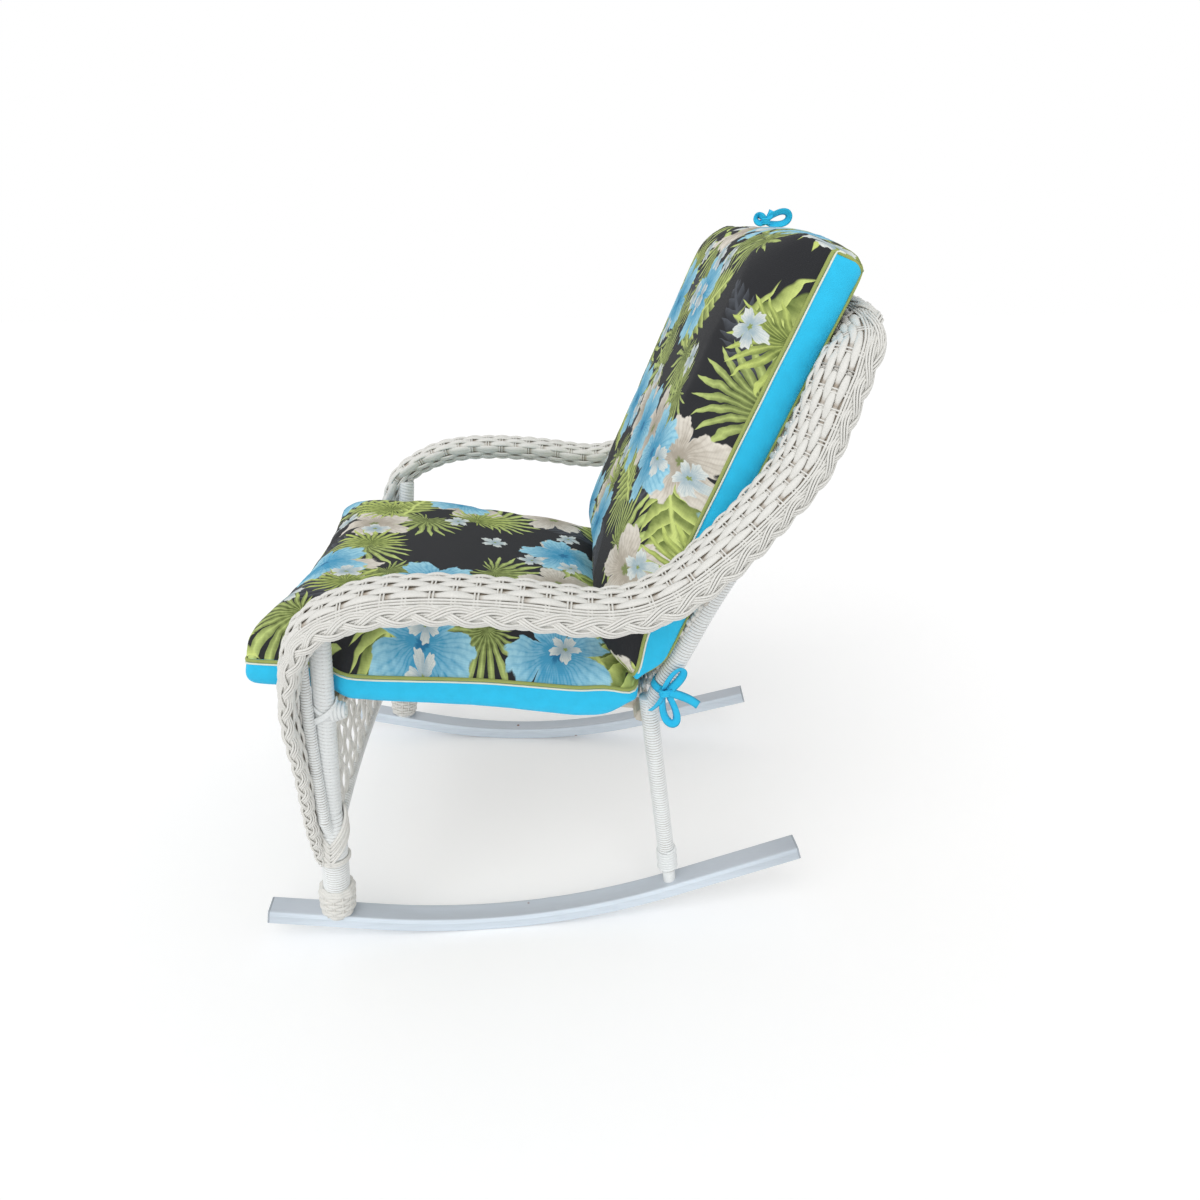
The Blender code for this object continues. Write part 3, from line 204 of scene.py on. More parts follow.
def toe(points, side):
    """Rocker points, toed in and moved out to their side."""
    c, s = math.cos(side * TOE_IN), math.sin(side * TOE_IN)
    turned = points @ np.array([[c, s, 0], [-s, c, 0], [0, 0, 1]])
    return turned + vec(side * ROCKER_SPACING, 0, 0)


def leg_floor(side, foot):
    at, _, up = rocker_end(foot)
    return toe(at + up * ROCKER_WALL, side)


def rocker_top(side):
    """Top of the rocker under the front leg."""
    at, _, up = rocker_end(-FRONT_FOOT)
    return toe(at + up * ROCKER_HEIGHT, side)


def on_leg(side, height):
    lean = unit(LEG_LEAN)
    floor = leg_floor(1, -FRONT_FOOT)
    return flip(floor + lean * ((height - floor[2]) / lean[2]), side)


def beside_leg(side, height, outward, forward):
    return on_leg(side, height) + vec(side * outward, -forward, 0)


SEAT_FRONT = on_leg(1, SEAT_HEIGHT)[1]
SEAT_REAR = CUSHION_REAR + RAIL_BEHIND
SEAT_REAR_HEIGHT = SEAT_HEIGHT - SEAT_DROP
SLOPE = math.atan2(SEAT_DROP, SEAT_REAR - SEAT_FRONT)
SEAT_UP = vec(0, math.sin(SLOPE), math.cos(SLOPE))
SEAT_ALONG = vec(0, math.cos(SLOPE), -math.sin(SLOPE))
CUSHION_LIFT = 0.0176


def seat_point(x, y, lift):
    return vec(x, y, SEAT_HEIGHT - (y - SEAT_FRONT) * math.tan(SLOPE)) + SEAT_UP * lift


BACK_UP = vec(0, math.sin(RAKE), math.cos(RAKE))
BACK_FRONT = vec(0, -math.cos(RAKE), math.sin(RAKE))
BACK_LINE = seat_point(0, CUSHION_REAR + BACK_BEHIND, CUSHION_LIFT)


def back_point(x, up, front):
    return BACK_LINE + vec(x, 0, 0) + BACK_UP * up + BACK_FRONT * front


def back_plane(height):
    return BACK_LINE[1] + (height - BACK_LINE[2]) * math.tan(RAKE)


def post_point(side, height):
    at = vec(POST_SPREAD, SEAT_REAR, SEAT_REAR_HEIGHT)
    return flip(at + POST_LEAN * (height - SEAT_REAR_HEIGHT), side)


def rear_leg_head(side):
    return flip(post_point(1, SEAT_REAR_HEIGHT) + vec(-0.0003, 0.0113, -0.0010), side)


# Beside the front leg: share of the arm's height, outward, clear of the leg; then tilt, width, depth. The
# lower end is drawn in to the leg, closer than the solid
LEG_ROUTE = ((0.2641, 0.003, -0.012, 0, 0.28, 0.32), (0.3785, 0.008, -0.008, 0, 0.46, 0.43),
             (0.5634, 0.014, 0.004, 6, 0.58, 0.46), (0.7570, 0.020, 0.012, 10, 0.74, 0.52))
# Over the arm: inset, share of the way to the back, rise; then tilt, width, depth. The oval is slimmer than
# the solid, because the strands stand proud of it
ARM_ROUTE = ((0.022, -0.0039, -0.044, 16, 0.85, 0.77), (0.009, 0.1374, -0.001, 16, 0.88, 0.91),
             (0.003, 0.3049, 0.011, 15, 0.88, 0.91), (0, 0.5169, 0.005, 14, 0.87, 0.91),
             (0, 0.7289, -0.008, 13, 0.86, 0.91), (0.003, 0.8702, 0.009, 20, 0.84, 0.91),
             (0.010, 1.0014, 0.058, 33, 0.80, 0.91))
# Up the back: inset, behind the back's plane, drop; then tilt
BACK_ROUTE = ((-0.007, 0.0080, 0.174, 48), (0, 0.0239, 0.125, 55), (0.011, 0.0196, 0.036, 55))
BACK_KNOT, CORNER_KNOT, MIDDLE_KNOT = 11, 13, 16


def band_knots():
    """Rows of the left band: centre, outward direction, tilt, half width, half depth."""
    x_out, z_out = vec(1, 0, 0), vec(0, 0, 1)
    rows = []
    for share, outward, clear, tilt, wide, deep in LEG_ROUTE:
        height = share * ARM_HEIGHT
        half = deep * ARM_DEPTH / 2
        leg = FRONT_FOOT_LEG if height < SWELL_HEIGHT else FRONT_LEG
        at = beside_leg(1, height, outward, leg + clear + half)
        rows.append((at, x_out, tilt, wide * ARM_WIDTH / 2, half))
    reach = back_plane(ARM_HEIGHT) - SEAT_FRONT
    for inset, share, rise, tilt, wide, deep in ARM_ROUTE:
        at = vec(ARM_SPREAD - inset, SEAT_FRONT + share * reach, ARM_HEIGHT + rise)
        rows.append((at, x_out, tilt, wide * ARM_WIDTH / 2, deep * ARM_DEPTH / 2))
    for inset, behind, drop, tilt in BACK_ROUTE:
        height = RIM_HEIGHT - drop
        at = vec(BACK_SPREAD - inset, back_plane(height) + behind, height)
        rows.append((at, x_out, tilt, BACK_WIDTH / 2, BACK_DEPTH / 2))
    rim_y = back_plane(RIM_HEIGHT) + RIM_BEHIND
    rim = (RIM_WIDTH / 2, RIM_DEPTH / 2)
    corner = vec(BACK_SPREAD - 0.036, rim_y - 0.004, RIM_HEIGHT - 0.3 * RIM_ARCH)
    rows.append((corner, unit(x_out + z_out), 42, *rim))
    rows.append((vec(BACK_SPREAD - 0.120, rim_y, RIM_HEIGHT + 0.5 * RIM_ARCH), z_out, 30, *rim))
    rows.append((vec(0, rim_y, RIM_HEIGHT + RIM_ARCH), z_out, 30, *rim))
    rows.append((flip(rows[-2][0], -1), z_out, 30, *rim))
    return rows


class Band:
    """The swept oval of a woven band, sampled evenly along its length."""
    lines = ("at", "along", "across", "face")
    numbers = ("run", "place", "wide", "deep", "scale", "stake", "twist", "trim")

    def __init__(self, start, end, step=0.005):
        knots = band_knots()
        middles = [knot[0] for knot in knots]
        places = np.linspace(start, end, 400)
        run = run_along([spline(middles, place) for place in places])
        self.run = np.linspace(0, run[-1], int(run[-1] / step) + 1)
        places = np.interp(self.run, run, places)
        self.at = np.array([spline(middles, place) for place in places])
        self.along = unit(np.gradient(self.at, axis=0))
        self.place = places
        low = np.minimum(places.astype(int), len(knots) - 2)
        t = (places - low)[:, None]
        outs = np.array([knot[1] for knot in knots])
        out = outs[low] * (1 - t) + outs[low + 1] * t
        sizes = np.array([knot[2:] for knot in knots], float)
        tilt, self.wide, self.deep = (sizes[low] * (1 - t) + sizes[low + 1] * t).T
        level = unit(out - self.along * np.sum(out * self.along, axis=1, keepdims=True))
        normal = np.cross(level, self.along)
        c, s = np.cos(np.radians(tilt))[:, None], np.sin(np.radians(tilt))[:, None]
        self.across = level * c - normal * s
        self.face = normal * c + level * s
        self.scale = self.wide / (ARM_WIDTH / 2)
        self.stake = self.twist = np.zeros(len(places))
        self.trim = np.ones(len(places))
        # Shares of the way round an oval twice as wide as deep, with their angles
        turn = np.linspace(math.pi, -math.pi, 721)
        arc = np.hypot(2.0 * np.diff(np.cos(turn)), np.diff(np.sin(turn)))
        self.turns = (np.concatenate([[0], np.cumsum(arc)]) / arc.sum(), turn)

    def part(self, rows):
        """Copy of a stretch of the band."""
        stretch = copy.copy(self)
        for name in self.lines + self.numbers:
            setattr(stretch, name, getattr(self, name)[rows].copy())
        return stretch

    def mirror(self):
        for name in self.lines:
            setattr(self, name, getattr(self, name) * vec(-1, 1, 1))

    def doubled(self):
        """The whole rim, from the half that ends at its middle."""
        for name in ("at", "across", "face"):
            half = getattr(self, name)
            setattr(self, name, np.concatenate([half, half[-2::-1] * vec(-1, 1, 1)]))
        self.along = unit(np.gradient(self.at, axis=0))
        for name in self.numbers:
            half = getattr(self, name)
            setattr(self, name, np.concatenate([half, half[-2::-1]]))
        return self

    def count_weave(self, wicker):
        """Count stakes, closer up the back, and turns of the plait, shorter where the band is narrow."""
        spacing = wicker.stakes * np.interp(self.place, (9.0, 11.5), (1.0, 0.74))
        self.stake = np.cumsum(np.gradient(self.run) / spacing)
        self.twist = np.cumsum(np.gradient(self.run) / (wicker.plait * np.clip(self.scale, 0.5, 1.0)))

    def surface(self, round_share, lift=0.0, rows=slice(None)):
        """Points and outward directions at shares of the way round: 0 inner edge, 0.25 top, 0.5 outer."""
        turn = np.interp(np.mod(round_share, 1.0), *self.turns)
        c, s = np.cos(turn)[..., None], np.sin(turn)[..., None]
        wide, deep = self.wide[rows][:, None], self.deep[rows][:, None]
        across, face = self.across[rows], self.face[rows]
        out = unit(across * c / wide + face * s / deep)
        points = self.at[rows] + across * c * wide + face * s * deep
        return points + out * np.asarray(lift)[..., None], out


# Mesh making

def capped(rows, path):
    """Rings, closed at both ends by the ends of their path."""
    first, last = (np.broadcast_to(path[i], (1, *rows.shape[1:])) for i in (0, -1))
    return np.concatenate([first, rows, last])


def coordinates(mesh):
    co = np.empty(len(mesh.vertices) * 3)
    mesh.vertices.foreach_get("co", co)
    return co.reshape(-1, 3)


def carried(path, up, closed):
    """Two directions square to a path at each point; up is given, or is carried along the path."""
    if closed:
        along = unit(np.roll(path, -1, axis=0) - np.roll(path, 1, axis=0))
    else:
        along = unit(np.gradient(path, axis=0))
    if up is None:
        first = np.eye(3)[np.argmin(np.abs(along[0]))]
        rows = []
        for direction in along:
            first = unit(first - direction * first.dot(direction))
            rows.append(first)
        up = np.array(rows)
    side = unit(np.cross(along, up))
    return side, np.cross(side, along)


class Skin:
    """Collects tubes and grids of one piece."""

    def __init__(self):
        self.points, self.faces, self.depth, self.count = [], [], [], 0

    def grid(self, rows, wrap=True, loop=False, depth=0.0):
        n, m = rows.shape[:2]
        index = self.count + np.arange(n * m).reshape(n, m)
        if wrap:
            index = np.concatenate([index, index[:, :1]], axis=1)
        if loop:
            index = np.concatenate([index, index[:1]], axis=0)
        quads = np.stack([index[:-1, :-1], index[:-1, 1:], index[1:, 1:], index[1:, :-1]], axis=-1)
        self.points.append(rows.reshape(-1, 3))
        self.faces.append(quads.reshape(-1, 4))
        depth = np.asarray(depth, float)
        depth = depth[:, None] if depth.ndim == 1 else depth
        self.depth.append(np.broadcast_to(depth, (n, m)).reshape(-1))
        self.count += n * m

    def tube(self, path, radius, sides=6, flat=1.0, up=None, depth=0.0, closed=False):
        """Strand of an oval section: radius to the sides, flat times that towards up."""
        path = np.asarray(path, float)
        side, up = carried(path, up, closed)
        turn = np.arange(sides) * 2 * math.pi / sides
        radius = np.broadcast_to(radius, (len(path),))[:, None, None]
        ring = side[:, None] * np.cos(turn)[:, None] + up[:, None] * np.sin(turn)[:, None] * flat
        rows = path[:, None] + ring * radius
        depth = np.broadcast_to(depth, (len(path),))
        if not closed:
            rows = capped(rows, path)
            depth = np.pad(depth, 1, mode="edge")
        self.grid(rows, loop=closed, depth=depth)

    def piece(self, name, material, slot, nodes=()):
        mesh = bpy.data.meshes.new(name)
        mesh.from_pydata(np.concatenate(self.points) + SHIFT, [], np.concatenate(self.faces))
        # depth: how far down in the weave or between turns a point lies, which the paint shows as painted
        # shade
        mesh.attributes.new("depth", "FLOAT", "POINT").data.foreach_set("value", np.concatenate(self.depth))
        mesh.validate()
        return add_piece(name, mesh, material, nodes)


def add_piece(name, mesh, material, nodes=()):
    mesh.materials.append(material)
    mesh.shade_smooth()
    obj = bpy.data.objects.new(name, mesh)
    bpy.context.scene.collection.objects.link(obj)
    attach(obj, "root")
    if nodes:
        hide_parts(*nodes)
    return obj


def wound(skin, path, radius, pitch, proud, flat=False, sides=14, strips=1):
    """Pole with strips or a cord wound round it; every turn is a ridge in its surface."""
    path = np.asarray(path, float)
    run = run_along(path)
    even = np.linspace(0, run[-1], max(2, int(run[-1] / pitch * 8)))
    at = np.stack([np.interp(even, run, path[:, k]) for k in range(3)], axis=1)
    thick = np.interp(even, run, np.broadcast_to(radius, (len(path),)))
    side, up = carried(at, None, False)
    turn = np.arange(sides) * 2 * math.pi / sides
    phase = np.mod(even[:, None] / pitch - strips * turn / (2 * math.pi), 1.0) * 2 - 1
    ridge = 1 - np.abs(phase) ** (4 if flat else 2)
    reach = thick[:, None] - proud * 0.3 + proud * ridge
    ring = side[:, None] * np.cos(turn)[:, None] + up[:, None] * np.sin(turn)[:, None]
    rows = at[:, None] + ring * reach[..., None]
    # Deep between the turns, for the paint's painted shade there
    deep = (1 - ridge) * 1.1
    skin.grid(capped(rows, at), depth=np.pad(deep, ((1, 1), (0, 0)), mode="edge"))


# Materials

def per_metre(size):
    """Scale of a pattern whose marks are this many millimetres across."""
    return 1000 / size


def add(tree, kind, inputs=(), **fields):
    """Adds a node, sets its fields, and sets or links its inputs.

    A kind may name its operation after a space, and a node stands for its first output.
    """
    kind, _, operation = kind.partition(" ")
    node = tree.nodes.new("ShaderNode" + kind)
    if operation:
        fields["operation"] = operation
    for key, value in fields.items():
        setattr(node, key, value)
    for key, value in inputs.items() if isinstance(inputs, dict) else enumerate(inputs):
        if isinstance(value, bpy.types.Node):
            value = value.outputs[0]
        if isinstance(value, bpy.types.NodeSocket):
            tree.links.new(value, node.inputs[key])
        else:
            node.inputs[key].default_value = value
    return node


def surface(name):
    """New material with an empty node tree, and the adder for that tree."""
    material = bpy.data.materials.new(name)
    material.use_nodes = True
    material.node_tree.nodes.clear()
    return material, partial(add, material.node_tree)


def opaque(colour):
    return (*colour, 1.0)


def ink(code):
    return opaque(linear(code))


def brushed_paint(name, paint, bare_and_gap_shade, rough, reach):
    """White paint brushed over reed: even on the crowns, worn thin in patches, with a grey-brown painted
    shade down in the gaps.
    """
    material, node = surface(name)
    place = node("TexCoord").outputs["Object"]
    depth = node("Attribute", attribute_name="depth").outputs["Fac"]
    # Patches of thicker and thinner paint about 25 mm across, and grain about 2 mm across
    patch = node("TexNoise", {"Vector": place, "Scale": per_metre(25), "Detail": 3.0})
    grain = node("TexNoise", {"Vector": place, "Scale": per_metre(2), "Detail": 2.0})
    # Random patches of worn paint, plus painted shade that grows with the depth attribute, mix in the gap
    # colour
    wear_and_depth_shade = node("Math MULTIPLY_ADD", [patch, 0.55, -0.28])
    wear_and_depth_shade = node("Math ADD", [depth, wear_and_depth_shade])
    bare_and_shaded = node("MapRange", [wear_and_depth_shade, *reach], interpolation_type="SMOOTHSTEP")
    tone = node("MapRange", [grain, 0.25, 0.75, 0.90, 1.03])
    white = node("VectorMath MULTIPLY", [paint, tone])
    colour = node("Mix", {0: bare_and_shaded, 6: white, 7: opaque(bare_and_gap_shade)}, data_type="RGBA").outputs[2]
    shine = node("MapRange", [patch, 0.3, 0.7, rough - 0.07, rough + 0.08])
    bump = node("Bump", {"Strength": 0.25, "Distance": 0.0006, "Height": grain})
    shader = node("BsdfPrincipled", {"Base Color": colour, "Roughness": shine, "Normal": bump})
    node("OutputMaterial", {"Surface": shader})
    return material


def reed_paint(wicker):
    """The reed's paint, made once."""
    name = "brushed_paint_on_reed"
    return bpy.data.materials.get(name) or brushed_paint(
        name, wicker.paint[:], wicker.bare_and_gap_shade[:], 0.50, (0.60, 1.25))


def wrap_paint():
    """The wound cane's paint, made once: whiter and cleaner than the reed's, with grey painted shade between
    the turns.
    """
    name = "brushed_paint_on_wound_cane"
    return bpy.data.materials.get(name) or brushed_paint(
        name, linear("E8EBEB"), linear("8A8074"), 0.48, (0.45, 1.20))


def sprayed_steel(metal):
    """Bent steel tube, sprayed silver grey: satin, with faint streaks along it, a few rust specks, and
    painted shade on the faces that look up.
    """
    material, node = surface("sprayed_steel_tube")
    place = node("TexCoord").outputs["Object"]
    # Streaks about 3.3 mm wide and 83 mm long that run along the tube
    across, along = per_metre(10 / 3), per_metre(250 / 3)
    stretch = node("Mapping", {"Vector": place, "Scale": (across, along, across)})
    streak = node("TexNoise", {"Vector": stretch, "Scale": 1.0, "Detail": 3.0})
    tone = node("MapRange", [streak, 0.3, 0.7, 0.95, 1.03])
    paint = node("VectorMath MULTIPLY", [metal.paint[:], tone])
    # Painted shade: the faces that look up are mixed towards a flat grey
    up = node("SeparateXYZ", [node("NewGeometry").outputs["Normal"]]).outputs[2]
    painted_shade_on_top = node("MapRange", [up, 0.45, 0.95, 0.0, 0.66])
    paint = node("Mix", {0: painted_shade_on_top, 6: paint, 7: ink("B4BAC2")}, data_type="RGBA").outputs[2]
    # Specks up to about 6 mm across, at most one in 45 mm
    speck = node("TexVoronoi", {"Vector": place, "Scale": per_metre(500 / 11)})
    chip = node("MapRange", [speck, 0.05, 0.08, 1.0, 0.0])
    colour = node("Mix", {0: chip, 6: paint, 7: opaque(metal.rust)}, data_type="RGBA").outputs[2]
    rough = node("MapRange", [streak, 0.3, 0.7, 0.30, 0.42])
    bump = node("Bump", {"Strength": 0.1, "Distance": 0.0004, "Height": streak})
    shader = node("BsdfPrincipled", {"Base Color": colour, "Roughness": rough, "Normal": bump})
    node("OutputMaterial", {"Surface": shader})
    return material


def simple_finish(name, colour, rough, size, metallic=0.0):
    """Small or hidden pieces: one colour, mottled in tone and relief by marks of a size in millimetres."""
    material, node = surface(name)
    place = node("TexCoord").outputs["Object"]
    mottle = node("TexNoise", {"Vector": place, "Scale": per_metre(size), "Detail": 3.0})
    tone = node("MapRange", [mottle, 0.3, 0.7, 0.86, 1.06])
    mixed = node("VectorMath MULTIPLY", [colour, tone])
    bump = node("Bump", {"Strength": 0.15, "Distance": 0.0005, "Height": mottle})
    shader = node("BsdfPrincipled", {"Base Color": mixed, "Roughness": rough, "Metallic": metallic,
                                     "Normal": bump})
    node("OutputMaterial", {"Surface": shader})
    return material


def plain_weave(node, place, pitch):
    """Threads both ways and their relief, about twice as coarse as the real cloth's so that they show."""
    scale = math.pi / (10 * pitch)
    ways = [node("TexWave", {"Vector": place, "Scale": scale}, bands_direction=way) for way in "XY"]
    threads = node("Math ADD", ways)
    return threads, node("Bump", {"Strength": 0.22, "Distance": 0.0006, "Height": threads})


def plain_cloth(name, colour, pitch=0.0016):
    """Dyed plain-weave canvas: matt, slightly uneven in dye, with a soft sheen at the edges."""
    material, node = surface(name)
    place = node("TexCoord").outputs["UV"]
    threads, bump = plain_weave(node, place, pitch)
    # Clouds in the dye about 17 mm across
    dye = node("TexNoise", {"Vector": place, "Scale": per_metre(50 / 3), "Detail": 3.0})
    tone = node("Math MULTIPLY_ADD", [dye, 0.22, 0.86])
    tone = node("Math MULTIPLY_ADD", [threads, 0.025, tone])
    mixed = node("VectorMath MULTIPLY", [colour, tone])
    shader = node("BsdfPrincipled", {"Base Color": mixed, "Roughness": 0.82, "Sheen Weight": 0.05,
                                     "Normal": bump})
    node("OutputMaterial", {"Surface": shader})
    return material


def printed_cloth(cushion):
    """Printed plain-weave cotton: shaded leaves and flowers with soft edges on a dark, matt ground.

    A motif's cell is in metres, and the numbers inside a motif are shares of its cell.
    """
    material, node = surface("printed_plain_weave_cotton")
    flat = node("TexCoord").outputs["UV"]
    # Hand-drawn edges: every outline wanders by about 4 mm over 31 mm
    wander = node("TexNoise", {"Vector": flat, "Scale": per_metre(31.25), "Detail": 2.0}).outputs["Color"]
    wander = node("VectorMath SUBTRACT", [wander, (0.5, 0.5, 0.5)])
    place = node("VectorMath MULTIPLY_ADD", [wander, (0.014, 0.014, 0.0), flat])
    # Brush shading about 8 mm across
    brush = node("TexNoise", {"Vector": flat, "Scale": per_metre(25 / 3), "Detail": 3.0}).outputs["Fac"]

    def scatter(cell, offset):
        """Place turned at random about the middle of its cell, and a random number."""
        spread = node("Mapping", {"Vector": place, "Location": offset, "Scale": (1 / cell, 1 / cell, 1.0)})
        spot = node("TexVoronoi", {"Vector": spread, "Scale": 1.0, "Randomness": 0.3},
                    voronoi_dimensions="2D").outputs
        local = node("VectorMath SUBTRACT", [spread, spot["Position"]])
        chance = node("SeparateColor", [spot["Color"]])
        angle = node("Math MULTIPLY", [chance, 2 * math.pi])
        turned = node("VectorRotate", {"Vector": local, "Angle": angle}, rotation_type="Z_AXIS")
        return turned, chance.outputs[1]

    def polar(turned):
        """Distance and angle from the middle of the cell."""
        x, y = node("SeparateXYZ", [turned]).outputs[:2]
        radius = node("VectorMath LENGTH", [turned]).outputs["Value"]
        return radius, node("Math ARCTAN2", [y, x])

    def inked(inside, chance, least):
        """1 inside a motif's outline and 0 outside it, for the share of cells that have one."""
        edge = node("MapRange", [inside, 0.0, 0.014])
        return node("Math MULTIPLY", [edge, node("Math GREATER_THAN", [chance, least])])

    def brushed(shade, strength, middle, dark, light):
        """Dark to light by a shade that the brush breaks up."""
        shade = node("Math SUBTRACT", [shade, middle])
        shade = node("Math MULTIPLY_ADD", [brush, strength, shade])
        return node("Mix", {0: shade, 6: dark, 7: light}, data_type="RGBA").outputs[2]

    def fan(cell, offset, least, light, dark):
        """Fan palm: 22 pointed leaflets spread from the stalk, each with a pale rib."""
        turned, chance = scatter(cell, offset)
        radius, angle = polar(turned)
        leaflet = node("Math MULTIPLY_ADD", [angle, 22 / (2 * math.pi), 20.0])
        leaflet = node("Math PINGPONG", [leaflet, 0.5])
        leaflet = node("Math MULTIPLY", [leaflet, 2.0])
        front = node("Math COSINE", [node("Math MULTIPLY", [angle, 0.5])])
        front = node("Math POWER", [node("Math ABSOLUTE", [front]), 0.7])
        reach = node("Math MULTIPLY_ADD", [node("Math POWER", [leaflet, 0.7]), 0.355, 0.092])
        reach = node("Math MULTIPLY", [reach, front])
        tip = node("Math MULTIPLY", [node("MapRange", [radius, 0.04, 0.43]), 0.55])
        shade = node("Math MULTIPLY_ADD", [node("Math POWER", [leaflet, 2.5]), 0.55, tip])
        inside = node("Math SUBTRACT", [reach, radius])
        return inked(inside, chance, least), brushed(shade, 0.9, 0.34, dark, light)

    def blade(cell, offset, least, light, dark):
        """Long split leaf with a pale rib and slanting veins."""
        turned, chance = scatter(cell, offset)
        x, y = node("SeparateXYZ", [turned]).outputs[:2]
        off = node("Math ABSOLUTE", [y])
        vein = node("Math MULTIPLY_ADD", [off, -10.6, 20.0])
        vein = node("Math FRACT", [node("Math MULTIPLY_ADD", [x, 12.9, vein])])
        width = node("Math MULTIPLY", [node("Math POWER", [x, 2.0]), 1.08])
        width = node("Math SUBTRACT", [0.178, width])
        width = node("Math MULTIPLY", [width, node("Math MULTIPLY_ADD", [vein, 0.45, 0.66])])
        rib = node("MapRange", [off, 0.0034, 0.0187, 1.0, 0.0])
        shade = node("Math MULTIPLY", [node("Math POWER", [vein, 1.6]), 0.85])
        shade = node("Math MAXIMUM", [shade, rib])
        inside = node("Math SUBTRACT", [width, off])
        return inked(inside, chance, least), brushed(shade, 0.7, 0.22, dark, light)

    def flower(cell, offset, least, base, petal_length, light, dark, heart, petals=5):
        """Open flower: ruffled petals, pale at the rim, deep towards the heart, with fine veins."""
        turned, chance = scatter(cell, offset)
        radius, angle = polar(turned)
        petal = node("Math COSINE", [node("Math MULTIPLY", [angle, petals / 2])])
        petal = node("Math ABSOLUTE", [petal])
        ruffle = node("Math MULTIPLY_ADD", [angle, 19.0, node("Math MULTIPLY", [brush, 6.0])])
        ruffle = node("Math MULTIPLY", [node("Math SINE", [ruffle]), 0.022])
        reach = node("Math MULTIPLY_ADD", [node("Math POWER", [petal, 0.55]), petal_length, base])
        reach = node("Math ADD", [reach, ruffle])
        vein = node("Math SINE", [node("Math MULTIPLY", [angle, petals * 4.5])])
        vein = node("Math POWER", [node("Math ABSOLUTE", [vein]), 6.0])
        part = node("Math DIVIDE", [radius, reach])
        shade = node("Math MULTIPLY_ADD", [vein, -0.28, node("MapRange", [part, 0.12, 0.95])])
        shade = node("Math MULTIPLY_ADD", [node("Math SUBTRACT", [1.0, petal]), -0.45, shade])
        middle = node("MapRange", [part, 0.10, 0.17, 1.0, 0.0])
        colour = brushed(shade, 1.1, 0.50, dark, light)
        colour = node("Mix", {0: middle, 6: colour, 7: heart}, data_type="RGBA").outputs[2]
        inside = node("Math SUBTRACT", [reach, radius])
        return inked(inside, chance, least), colour

    leaf, blossom, lily = opaque(cushion.leaf), opaque(cushion.blossom), opaque(cushion.lily)
    colour = opaque(cushion.ground)
    layers = [
        blade(0.176, (3.7, 1.2, 0.0), 0.10, ink("50545B"), ink("2B2D31")),
        fan(0.214, (7.3, 2.9, 0.0), 0.05, leaf, ink("4C5829")),
        fan(0.186, (5.5, 7.7, 0.0), 0.43, ink("B9C97A"), ink("465328")),
        blade(0.241, (1.9, 5.4, 0.0), 0.05, ink("CFDD84"), ink("56672F")),
        flower(0.150, (4.4, 8.3, 0.0), 0.55, 0.16, 0.24, lily, ink("AFA698"), ink("7F8A58")),
        fan(0.158, (2.2, 9.1, 0.0), 0.43, ink("C3D276"), ink("50602B")),
        flower(0.176, (6.1, 3.3, 0.0), 0.20, 0.18, 0.215, ink("A3D6E8"), blossom, ink("2A76A2")),
        flower(0.062, (9.7, 6.6, 0.0), 0.72, 0.10, 0.26, ink("DFE3DE"), ink("9FB4BD"), ink("8A9A52")),
    ]
    for share, motif in layers:
        colour = node("Mix", {0: share, 6: colour, 7: motif}, data_type="RGBA").outputs[2]
    threads, bump = plain_weave(node, flat, 0.0016)
    tone = node("Math MULTIPLY_ADD", [threads, 0.05, 0.94])
    printed = node("VectorMath MULTIPLY", [colour, tone])
    shader = node("BsdfPrincipled", {"Base Color": printed, "Roughness": 0.85, "Specular IOR Level": 0.3,
                                     "Normal": bump})
    node("OutputMaterial", {"Surface": shader})
    return material


# Stage

